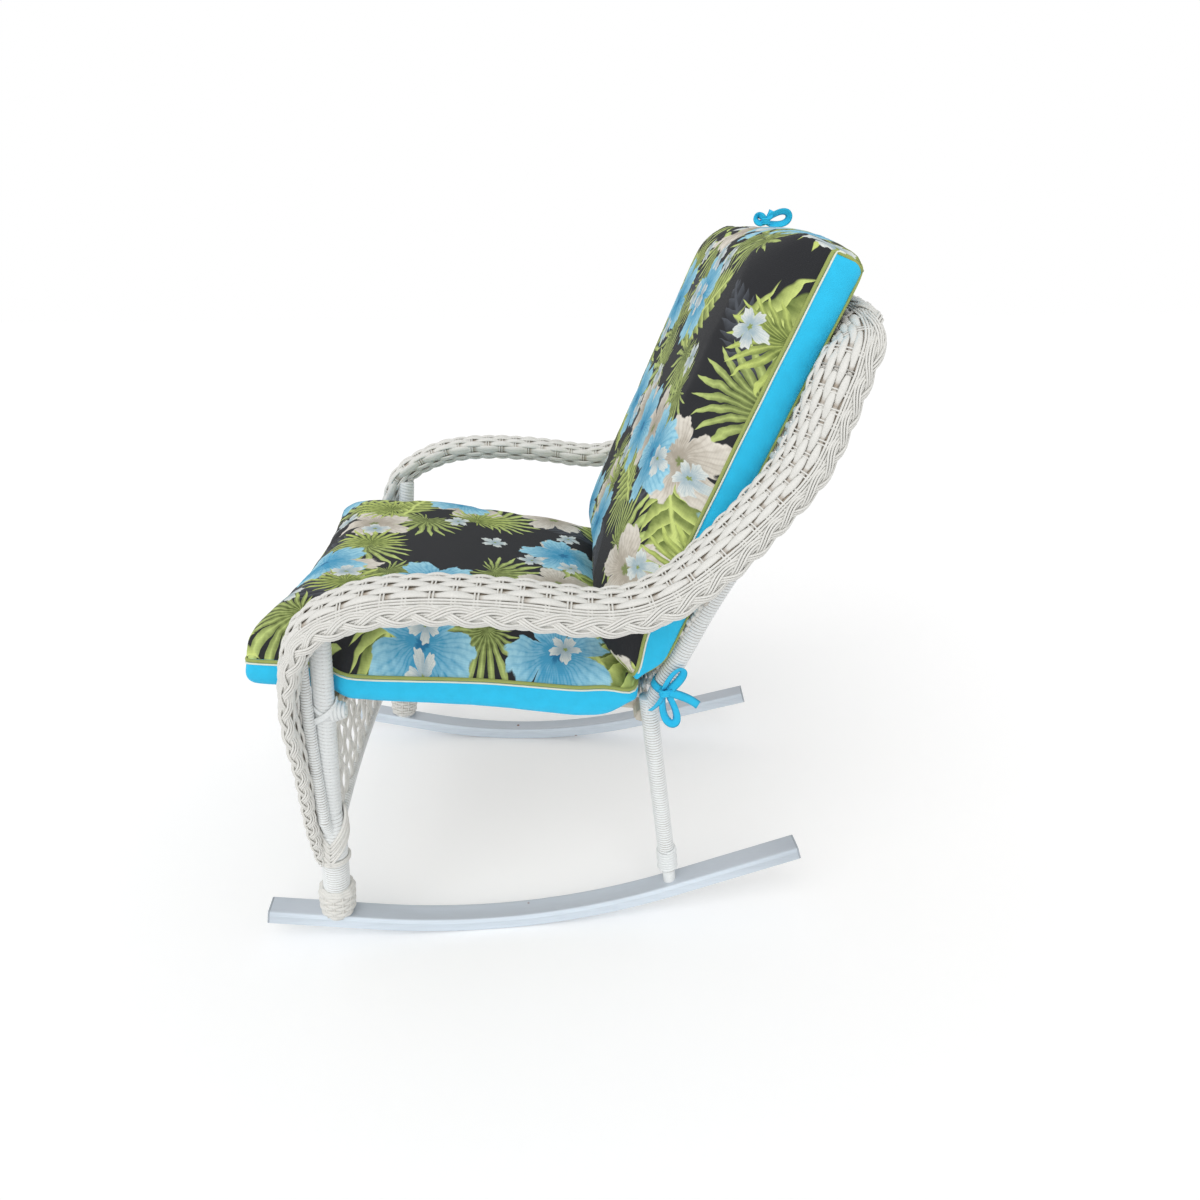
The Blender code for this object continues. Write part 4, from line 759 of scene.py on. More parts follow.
class ChairStageOperator(bpy.types.Operator):
    """Make the floor, the lamp, the world and the camera"""
    bl_idname = "chair.stage"
    bl_label = "Stage"

    def execute(self, context):
        values = context.scene.chair_stage
        context.scene.view_settings.view_transform = "Standard"
        self.floor(context, values)
        self.world(context, values)
        self.key_light(context, values)
        self.camera(context)
        return {"FINISHED"}

    def seen(self, node):
        """1 for rays that come from the camera, straight or by way of gloss or glass."""
        light = node("LightPath").outputs
        mirrored = node("Math MAXIMUM", [light["Is Camera Ray"], light["Is Glossy Ray"]])
        return node("Math MAXIMUM", [mirrored, light["Is Transmission Ray"]])

    def floor(self, context, values):
        """Paper floor: quite matt, and to the camera as white as the backdrop but for the soft shadow."""
        mesh = bpy.data.meshes.new("floor")
        half = 8.0
        corners = [(-half, -half, 0), (half, -half, 0), (half, half, 0), (-half, half, 0)]
        mesh.from_pydata(corners, [], [(0, 1, 2, 3)])
        material, node = surface("matt_paper_floor")
        glow = node("Math MULTIPLY", [self.seen(node), 0.09])
        shader = node("BsdfPrincipled", {"Base Color": opaque(values.floor), "Roughness": 0.95,
                                         "Specular IOR Level": 0.0, "Emission Color": (1.0, 1.0, 1.0, 1.0),
                                         "Emission Strength": glow})
        node("OutputMaterial", {"Surface": shader})
        mesh.materials.append(material)
        floor = bpy.data.objects.new("floor", mesh)
        # A hair under the rockers, so that no two faces lie in one plane
        floor.location.z = -0.0005
        context.scene.collection.objects.link(floor)

    def world(self, context, values):
        world = bpy.data.worlds.new("studio")
        world.use_nodes = True
        world.node_tree.nodes.clear()
        node = partial(add, world.node_tree)
        strength = node("MapRange", {0: self.seen(node), 3: values.sky, 4: 1.0})
        back = node("Background", {"Color": (1.0, 1.0, 1.0, 1.0), "Strength": strength})
        node("OutputWorld", {"Surface": back})
        context.scene.world = world

    def key_light(self, context, values):
        """Very broad light from the camera's side, as strong at the floor's far edge as on the chair."""
        data = bpy.data.lights.new("key_light", "SUN")
        data.energy, data.angle = values.key, math.radians(60)
        lamp = bpy.data.objects.new("key_light", data)
        aim = unit(vec(-1.0, 0.3, -0.85))
        side = unit(np.cross(aim, vec(0, 0, 1)))
        lamp.matrix_world = Matrix(np.column_stack([side, np.cross(side, aim), -aim]).tolist()).to_4x4()
        context.scene.collection.objects.link(lamp)

    def camera(self, context):
        """Camera fitted to the rockers in the photograph; 900 pixels of focal length on 1200."""
        yaw, pitch, roll = 0.0271, 0.4089, -0.0048
        aim = vec(-math.cos(pitch) * math.cos(yaw), math.cos(pitch) * math.sin(yaw), -math.sin(pitch))
        right = unit(np.cross(aim, vec(0, 0, 1)))
        up = np.cross(right, aim)
        c, s = math.cos(roll), math.sin(roll)
        data = bpy.data.cameras.new("camera")
        data.sensor_width, data.lens = 36.0, 36.0 * 900 / 1200
        camera = bpy.data.objects.new("camera", data)
        turn = np.column_stack([c * right + s * up, -s * right + c * up, -aim])
        camera.matrix_world = Matrix(turn.tolist()).to_4x4()
        camera.location = vec(1.3346, 0.1347, 0.9936) + SHIFT
        context.scene.collection.objects.link(camera)
        context.scene.camera = camera


# Base

class ChairRockersOperator(bpy.types.Operator):
    """Make the bent rockers with their dished tops, and finish their caps and screws"""
    bl_idname = "chair.rockers"
    bl_label = "Rockers"

    def execute(self, context):
        metal = context.scene.chair_metal
        paint = sprayed_steel(metal)
        # Moulded plugs: an even grey, half matt from the grain of the mould
        plastic = simple_finish("moulded_grey_plastic", linear("A9B1B9"), 0.5, 2.5)
        # Plated screws: a pale metal with the plating's faint clouds
        steel = simple_finish("zinc_plated_steel", linear("B4B6B8"), 0.35, 5 / 3, metallic=1.0)
        rows = self.rows()
        for name, side in SIDES:
            skin = Skin()
            skin.grid(toe(rows, side))
            skin.piece(name + "_rocker_tube", paint, "rocker_paint", [name + "_rocker"])
            for end in ("front", "rear"):
                frame["nodes"][f"{name}_rocker_{end}_cap"].data.materials[0] = plastic
                frame["nodes"][f"{name}_{end}_leg_screw"].data.materials[0] = steel
        return {"FINISHED"}

    def rows(self):
        """Rings of the tube's section along its bend."""
        front, front_along, front_up = rocker_end(-FRONT_REACH)
        rear, rear_along, rear_up = rocker_end(REAR_REACH)
        path = [(front + front_along * CAP_PLATE, front_up, 0.0)]
        fade = math.radians(4)
        for turn in np.linspace(FRONT_SLOPE, REAR_SLOPE, 90):
            up = vec(0, -math.sin(turn), math.cos(turn))
            soft = eased(min(turn - FRONT_SLOPE, REAR_SLOPE - turn) / fade)
            path.append((underside(turn), up, soft))
        path.append((rear - rear_along * CAP_PLATE, rear_up, 0.0))
        rows = np.array([self.section(*row) for row in path])
        return capped(rows, rows.mean(axis=1))

    def section(self, point, up, soft):
        """Rounded box with a fine bead along each side and a top that is dished as far as soft says."""
        half, corner = ROCKER_WIDTH / 2, 0.0028
        bead = ((0.0, 0.0142), (0.0005, 0.0149), (0.0005, 0.0160), (0.0, 0.0167))
        flat = []
        for cx, cz, start in ((half - corner, corner, -90), (half - corner, ROCKER_HEIGHT - corner, 0),
                              (corner - half, ROCKER_HEIGHT - corner, 90), (corner - half, corner, 180)):
            for k in range(4):
                turn = math.radians(start + 30 * k)
                flat.append((cx + corner * math.cos(turn), cz + corner * math.sin(turn)))
            if start == -90:
                flat += [(half + proud, z) for proud, z in bead]
            if start == 0:
                for k in range(1, 8):
                    x = (half - corner) * (1 - k / 4)
                    flat.append((x, ROCKER_HEIGHT - DISH * soft * (1 - (x / (half - corner)) ** 2)))
            if start == 90:
                flat += [(-half - proud, z) for proud, z in reversed(bead)]
        return [point + vec(x, 0, 0) + up * z for x, z in flat]


class ChairPolesOperator(bpy.types.Operator):
    """Make the legs, braces, back posts and apron pole with the cane wound round them"""
    bl_idname = "chair.poles"
    bl_label = "Wound poles"

    def execute(self, context):
        paint = wrap_paint()
        for name, side in SIDES:
            self.front_leg(name, side, paint)
            self.brace(name, side, paint)
            self.rear_leg(name, side, paint)
            self.post(name, side, paint)
        skin = Skin()
        wound(skin, apron_edge(60), APRON_POLE, 0.0042, 0.0014, sides=12)
        skin.piece("apron_pole_winding", paint, "pole_wrap", ["apron_edge_pole"])
        return {"FINISHED"}

    def front_leg(self, name, side, paint):
        """Cord on the stout foot, flat strip on the neck, and three strips side by side above it."""
        foot = rocker_top(side)[2] - 0.004
        skin = Skin()
        lower = [on_leg(side, h) for h in np.linspace(foot, WOUND_HEIGHT, 20)]
        wound(skin, lower, FRONT_FOOT_LEG, 0.0044, 0.0016, sides=18)
        heights = np.linspace(WOUND_HEIGHT, NECK_HEIGHT, 24)
        radii = np.interp(heights, [WOUND_HEIGHT, SWELL_HEIGHT - 0.02, NECK_HEIGHT],
                          [FRONT_FOOT_LEG, FRONT_FOOT_LEG - 0.0005, FRONT_LEG])
        wound(skin, [on_leg(side, h) for h in heights], radii, 0.0060, 0.0015, flat=True, sides=18)
        upper = [on_leg(side, h) for h in np.linspace(NECK_HEIGHT, ARM_HEIGHT - 0.044, 40)]
        wound(skin, upper, FRONT_LEG, 0.0056, 0.0016, flat=True, sides=16, strips=3)
        skin.piece(name + "_front_leg_winding", paint, "pole_wrap", [name + "_front_leg"])

    def brace(self, name, side, paint):
        """Thin pole that leans away from the leg, close behind the band; its foot is drawn into the leg."""
        foot, knee, head = 0.206, 0.228, ARM_HEIGHT - 0.052
        heights = np.linspace(foot, head, 26)
        outward = np.interp(heights, [foot, knee, head], [0.0115, 0.0195, 0.0110])
        forward = np.interp(heights, [foot, knee, 0.32, 0.43, head], [0.0010, 0.0050, 0.0125, 0.0190, 0.0220])
        skin = Skin()
        path = [beside_leg(side, *place) for place in zip(heights, outward, forward)]
        wound(skin, path, BRACE, 0.0042, 0.0015, sides=12)
        skin.piece(name + "_brace_winding", paint, "pole_wrap", [name + "_arm_brace"])

    def rear_leg(self, name, side, paint):
        """Bare peg at the foot and a wound pole that runs on past the seat to the tie."""
        floor, head = leg_floor(side, REAR_FOOT), rear_leg_head(side)
        skin = Skin()
        shares = np.linspace(0, 1.13, 34)[:, None]
        path = floor + (head - floor) * shares
        peg = path[path[:, 2] < floor[2] + 0.042]
        skin.tube(peg, REAR_LEG - 0.0006, sides=16, depth=0.2)
        wound(skin, path[len(peg) - 1:], REAR_LEG + 0.0013, 0.0043, 0.0015, sides=14)
        skin.piece(name + "_rear_leg_winding", paint, "pole_wrap", [name + "_rear_leg"])

    def post(self, name, side, paint):
        """Wound pole that starts thin inside the head of the rear leg and bends into the back's rim."""
        low = SEAT_REAR_HEIGHT - 0.011
        straight = [post_point(side, low + 0.220 * share) for share in (0.0, 0.5, 1.0)]
        band = Band(CORNER_KNOT - 1, CORNER_KNOT)
        knots = straight + [flip(band.at[i], side) for i in (0, len(band.at) // 2, -1)]
        steps = len(knots) - 1
        path = np.array([spline(knots, place) for place in np.linspace(0, steps, 12 * steps + 1)])
        path = path[path[:, 2] > SEAT_REAR_HEIGHT + 0.012]
        thick = np.interp(path[:, 2], [path[0, 2], path[0, 2] + 0.032], [0.0088, POST])
        skin = Skin()
        wound(skin, path, thick, 0.0046, 0.0016, sides=14)
        skin.piece(name + "_back_post_winding", paint, "pole_wrap", [name + "_back_post"])


def apron_edge(steps):
    """Arch of the apron's lower edge."""
    half = on_leg(1, APRON_FOOT)[0]
    points = []
    for i in range(steps + 1):
        share = 2 * i / steps - 1
        height = APRON_FOOT + APRON_ARCH * math.sqrt(max(0.0, 1 - share ** 2))
        points.append(vec(half * share, on_leg(1, height)[1], height))
    return points


# Woven bands

def weave_band(band, wicker, skin):
    """Fat weavers over paired stakes, thin strands beside them and a plait along the outer edge."""
    scale, count = band.scale, len(band.run)
    fat, thin = wicker.reed / 2, wicker.thin / 2
    # Places are shares of the way round; the fat weavers leave room for the thin strands and the plait
    rows = np.concatenate([np.arange(-0.02, 0.345, 0.05), np.arange(0.555, 0.96, 0.05)])
    for index, place in enumerate(rows):
        wave = np.cos(math.pi * (band.stake + index))
        wander = 0.0025 * np.sin(1.3 * band.stake + 2.1 * index)
        points, out = band.surface(place + wander, (0.0021 * wave - 0.0026) * scale)
        skin.tube(points, fat * (1 + 0.19 * wave) * scale * band.trim, sides=8, flat=0.46, up=out,
                  depth=(0.5 - 0.5 * wave) ** 2)
    for place in (0.372, 0.393, 0.414):
        points, out = band.surface(np.full(count, place), -0.0012 * scale)
        skin.tube(points, thin * scale * band.trim, up=out, depth=0.1)
    plait(band, wicker, skin)
    round_share = np.linspace(-0.06, 0.43, 34)
    for row in np.flatnonzero(np.diff(np.floor(band.stake))):
        points, out = band.surface(round_share, np.full(34, -0.0018 * scale[row]), np.full(34, row))
        for beside in (-0.0021, 0.0021):
            skin.tube(points + band.along[row] * beside, thin * 0.72 * scale[row], sides=5, up=out,
                      depth=0.15)


def plait(band, wicker, skin):
    """Three groups of three reeds, plaited flat along the outer edge over a bed of straight reeds."""
    thin = wicker.thin / 2
    widen, thick = np.clip(1 / band.scale, 1.0, 2.1), np.maximum(band.scale, 0.75)
    girth = thin * thick * band.trim
    edge = 0.476
    for beside in (-0.045, -0.027, -0.009, 0.009, 0.027, 0.045):
        points, out = band.surface(edge + beside * widen, -0.0024 * thick)
        skin.tube(points, girth * 1.05, sides=5, up=out, depth=0.45)
    for group in range(3):
        phase = 2 * math.pi * (band.twist + group / 3)
        for reed in (-1, 0, 1):
            place = edge + (0.040 * np.sin(phase) + reed * 0.0135) * widen
            points, out = band.surface(place, (0.0012 + 0.0024 * np.sin(2 * phase)) * thick)
            skin.tube(points, girth * 0.92, sides=5, up=out, depth=0.25 - 0.25 * np.sin(2 * phase))


def band_lining(band, skin, sides=20):
    """Inner skin that closes the gaps of the weave, dark as painted shade."""
    turn = np.arange(sides) * 2 * math.pi / sides
    inset = 0.0052 * band.scale
    wide, deep = (band.wide - inset)[:, None, None], (band.deep - inset)[:, None, None]
    ring = band.across[:, None] * np.cos(turn)[:, None] * wide
    ring = ring + band.face[:, None] * np.sin(turn)[:, None] * deep
    skin.grid(capped(band.at[:, None] + ring, band.at))


class ChairBandsOperator(bpy.types.Operator):
    """Weave the rolls from the front feet over the arms to the top of the back, and the rim between them"""
    bl_idname = "chair.bands"
    bl_label = "Woven bands"

    def execute(self, context):
        wicker = context.scene.chair_wicker
        paint = reed_paint(wicker)
        # Inside of the weave: its inner rows in a warm grey-brown, as painted shade in the gaps
        dark = simple_finish("dusty_reed_lining", linear("AEA292"), 0.8, 25 / 3)
        half = Band(0, MIDDLE_KNOT)
        half.count_weave(wicker)
        corner = int(np.argmin(np.abs(half.place - CORNER_KNOT)))
        for name, side in SIDES:
            band = half.part(slice(0, corner + 2))
            band.trim[-1] = 0.8
            if side < 0:
                band.mirror()
            self.weave(name + "_arm", band, wicker, paint, dark, name + "_arm_band")
        rim = half.part(slice(corner - 1, None)).doubled()
        rim.trim[[0, -1]] = 0.8
        self.weave("back_rim", rim, wicker, paint, dark, "back_rim_band")
        return {"FINISHED"}

    def weave(self, name, band, wicker, paint, dark, node):
        lining, skin = Skin(), Skin()
        band_lining(band, lining)
        lining.piece(name + "_lining", dark, "reed_weave", [node])
        weave_band(band, wicker, skin)
        skin.piece(name + "_weave", paint, "reed_weave")


# Woven sheets

def weave_sheet(skin, place, width_at, length, pitch, stakes, radius, first=0.0):
    """Plain weave in a flat sheet: rows across, pairs of stakes along; place(x, y, lift) gives a point."""
    for index, y in enumerate(np.arange(first + pitch / 2, length, pitch)):
        half = width_at(y)
        xs = np.linspace(-half, half, max(8, int(2 * half / stakes * 6)))
        wave = np.cos(math.pi * (xs / stakes + index))
        points = np.array([place(x, y, radius * 0.75 * w) for x, w in zip(xs, wave)])
        up = np.broadcast_to(place(0, y, 1.0) - place(0, y, 0.0), points.shape)
        wide = pitch * 0.47
        skin.tube(points, wide, flat=radius / wide, up=up, depth=(0.5 - 0.5 * wave) ** 2)
    most = max(width_at(y) for y in np.linspace(first, length, 20))
    for x in np.arange(-int(most / stakes) * stakes, most, stakes):
        ys = [y for y in np.linspace(first, length, 60) if width_at(y) > abs(x) + 0.004]
        if len(ys) < 4:
            continue
        for beside in (-0.0028, 0.0028):
            skin.tube([place(x + beside, y, 0.0) for y in ys], 0.0018, sides=5, depth=0.2)


class ChairPanelsOperator(bpy.types.Operator):
    """Weave the sheets of the back and the seat"""
    bl_idname = "chair.panels"
    bl_label = "Woven sheets"

    def execute(self, context):
        paint = reed_paint(context.scene.chair_wicker)
        pitch, stakes = 0.0098, 0.040
        skin = Skin()
        band = Band(BACK_KNOT - 1, MIDDLE_KNOT - 1, 0.01)
        ups = (band.at[:, 2] - BACK_LINE[2]) / BACK_UP[2]
        corner = int(np.argmax(band.place > CORNER_KNOT))
        heights = np.concatenate([[0.0], ups[:corner], [0.52]])
        halves = np.concatenate([[0.235], band.at[:corner, 0] - 0.012, [0.288]])
        order = np.argsort(heights)
        heights, halves = heights[order], halves[order]
        top = (RIM_HEIGHT - BACK_LINE[2]) / BACK_UP[2] - 0.006

        def on_back(x, y, lift):
            return back_point(x, y, lift - 0.0035)

        def back_half(y):
            return float(np.interp(y, heights, halves))

        weave_sheet(skin, on_back, back_half, top, pitch, stakes, 0.0032, 0.006)
        skin.piece("woven_back_sheet", paint, "reed_weave", ["woven_back"])
        skin = Skin()
        length = (SEAT_REAR - 0.0045 - SEAT_FRONT) / math.cos(SLOPE)

        def on_seat(x, y, lift):
            return seat_point(x, SEAT_FRONT, 0.0143 + lift) + SEAT_ALONG * y

        weave_sheet(skin, on_seat, lambda y: 0.231, length, pitch, stakes, 0.0028)
        skin.piece("woven_seat_sheet", paint, "reed_weave", ["woven_seat"])
        # Poles under one thin coat: the cane's warm tone shows through in patches
        cane = simple_finish("thinly_painted_rattan_pole", linear("D3CDC0"), 0.55, 100 / 9)
        for name, node in frame["nodes"].items():
            if name.endswith(("_rail", "_bar", "_stake", "_arm_pole")):
                node.data.materials[0] = cane
        return {"FINISHED"}


class ChairApronOperator(bpy.types.Operator):
    """Weave the open lattice under the front of the seat"""
    bl_idname = "chair.apron"
    bl_label = "Front apron"

    def execute(self, context):
        paint = reed_paint(context.scene.chair_wicker)
        edge = np.array(apron_edge(80))
        skin = Skin()
        top = SEAT_HEIGHT - 0.009

        def inside(x, z):
            return (z <= top and abs(x) < on_leg(1, z)[0] - FRONT_LEG * 0.6
                    and z > np.interp(x, edge[:, 0], edge[:, 2], left=1, right=1) + 0.001)

        def strand(x, slope, phase):
            keep = []
            for z in np.arange(APRON_FOOT + 0.001, top, 0.006):
                at = x + slope * (z - top)
                if inside(at, z):
                    wave = 0.0014 * math.cos(math.pi * (z / 0.022 + phase))
                    keep.append(vec(at, on_leg(1, z)[1] + wave, z))
            if len(keep) > 3:
                skin.tube(keep, 0.0021, sides=5, depth=0.1)

        # Pairs of uprights, strands that slant both ways, and four rows across below the seat
        for x in np.arange(-0.30, 0.301, 0.030):
            strand(x - 0.0022, 0.0, 0)
            strand(x + 0.0022, 0.0, 0)
        for index, x in enumerate(np.arange(-0.468, 0.469, 0.052)):
            strand(x, 0.75, index)
            strand(x, -0.75, index + 1)
        for index in range(4):
            z = top - 0.004 - 0.0075 * index
            half = on_leg(1, z)[0] - 0.010
            xs = np.linspace(-half, half, 130)
            wave = np.cos(math.pi * (xs / 0.030 + index))
            points = np.array([vec(x, on_leg(1, z)[1] - 0.003 * w, z) for x, w in zip(xs, wave)])
            skin.tube(points, 0.0035, depth=(0.5 - 0.5 * wave) ** 2)
        skin.piece("front_apron_lattice", paint, "reed_weave", ["front_apron"])
        return {"FINISHED"}


class ChairBindingsOperator(bpy.types.Operator):
    """Weave the foot collars and wind the bindings and the cords at the rear feet"""
    bl_idname = "chair.bindings"
    bl_label = "Collars and bindings"

    def execute(self, context):
        reed, wrap = reed_paint(context.scene.chair_wicker), wrap_paint()
        for name, side in SIDES:
            self.collar(name, side, reed)
            self.foot_cord(name, side, wrap)
            self.binding(name, side, wrap)
            self.band_end(name, side, reed)
        return {"FINISHED"}

    def band_end(self, name, side, reed):
        """Ends of the band's reeds, slanted down round the leg and bound off with two turns."""
        skin = Skin()
        turns = np.radians(np.linspace(-160, 150, 40))
        for index in range(6):
            heights = np.minimum(0.153 + 0.0062 * index + 0.026 * np.abs(turns), 0.236)
            self.round_leg(skin, side, turns, heights, 0.0026 - 0.0009 * (index % 2), 0.0023)
        whole = np.linspace(0, 2 * math.pi, 48)
        for height in (0.1490, 0.1530):
            self.round_leg(skin, side, whole, np.full(48, height), 0.0024, 0.0022)
        skin.piece(name + "_band_end_strands", reed, "reed_weave")

    def round_leg(self, skin, side, turns, heights, proud, radius):
        leg = np.interp(heights, [SWELL_HEIGHT - 0.02, NECK_HEIGHT], [FRONT_FOOT_LEG, FRONT_LEG + 0.003])
        path = [on_leg(side, h) + vec(side * math.cos(t), math.sin(t), 0) * (r + proud)
                for t, h, r in zip(turns, heights, leg)]
        skin.tube(path, radius, depth=0.1)

    def collar(self, name, side, reed):
        """Seven woven rows round a flared foot, over upright stakes."""
        low = on_leg(side, rocker_top(side)[2])
        along = unit(flip(LEG_LEAN, side))
        first, second = square_to(along)
        skin = Skin()

        def point(turn, rise, reach):
            out = first * np.cos(turn) + second * np.sin(turn)
            return low + along * rise + out * reach

        def flare(rise):
            return np.interp(rise, [0, 0.013, 0.044], [0.0215, 0.0245, 0.0255])

        stakes = 12
        turns = np.linspace(0, 2 * math.pi, 72, endpoint=False)
        for row in range(7):
            rise = 0.0055 + 0.0062 * row
            reach = flare(rise) - 0.0022
            wave = np.cos(stakes / 2 * turns + math.pi * row)
            path = np.array([point(t, rise, reach + 0.0011 * w) for t, w in zip(turns, wave)])
            skin.tube(path, 0.0031, closed=True, depth=(0.5 - 0.5 * wave) ** 2)
        for k in range(stakes):
            turn = 2 * math.pi * k / stakes
            path = [point(turn, rise, flare(rise) - 0.0012) for rise in np.linspace(0.002, 0.045, 10)]
            skin.tube(path, 0.0017, sides=5, depth=0.2)
        for rise, reach in ((0.0470, 0.0226), (0.0500, 0.0203)):
            brim = np.array([point(t, rise, reach + 0.0008 * math.cos(9 * t)) for t in turns])
            skin.tube(brim, 0.0030, closed=True)
        skin.piece(name + "_foot_collar_weave", reed, "reed_weave", [name + "_front_foot_collar"])

    def foot_cord(self, name, side, wrap):
        """Loose turns of rough cord over the foot of the rear leg."""
        floor, head = leg_floor(side, REAR_FOOT), rear_leg_head(side)
        along = unit(head - floor)
        first, second = square_to(along)
        skin = Skin()
        turns = np.linspace(0, 7.5 * 2 * math.pi, 7 * 30)
        wobble = np.sin(turns * 0.37) * 0.0006 + np.sin(turns * 1.31 + 1.0) * 0.0004
        rise = 0.046 + 0.0047 * turns / (2 * math.pi) + 0.0009 * np.sin(turns + 0.6)
        reach = REAR_LEG + 0.0024 + np.abs(wobble)
        path = np.array([floor + along * r + (first * math.cos(t) + second * math.sin(t)) * q
                         for r, t, q in zip(rise, turns, reach)])
        skin.tube(path, 0.0024 + wobble * 0.4, depth=0.15)
        skin.piece(name + "_foot_cord", wrap, "pole_wrap", [name + "_rear_foot_wrap"])

    def binding(self, name, side, wrap):
        """A wide strip crossed over a narrow one on the front leg, and turns round the rails beside it."""
        skin = Skin()
        joint, step = on_leg(side, SEAT_HEIGHT + 0.013), 0.0046
        shares = np.linspace(0, 1, 26)
        for lean, half, proud in ((1, 0.0046, 0.0034), (-1, 0.0034, 0.0018)):
            turns = np.radians(-80 + 190 * shares)
            out = np.stack([side * np.cos(turns), np.sin(turns), 0 * turns], axis=1)
            path = [on_leg(side, h) for h in joint[2] + lean * 0.017 * (2 * shares - 1)]
            skin.tube(np.array(path) + out * (FRONT_LEG + proud), half, sides=8, flat=0.24, up=out, depth=0.1)
        turn = np.linspace(0, 2 * math.pi, 26, endpoint=False)[:, None]
        inward, rearward = vec(-side, 0, 0), vec(0, 1, 0)
        for along, across, count in ((inward, rearward, 5), (rearward, inward, 4)):
            for k in range(count):
                at = joint + along * (FRONT_LEG - 0.001 + step * k)
                path = at + (across * np.cos(turn) + vec(0, 0, 1) * np.sin(turn)) * (0.0118 - 0.0004 * k * k)
                skin.tube(path, 0.0026, closed=True, depth=0.1)
            core = np.linspace(0.0, step * count, 6)[:, None]
            path = joint + along * (FRONT_LEG - 0.003 + core)
            skin.tube(path, 0.0105 - 0.3 * core[:, 0], sides=14, depth=0.5)
        skin.piece(name + "_binding_strips", wrap, "pole_wrap", [name + "_seat_binding"])


# Soft goods

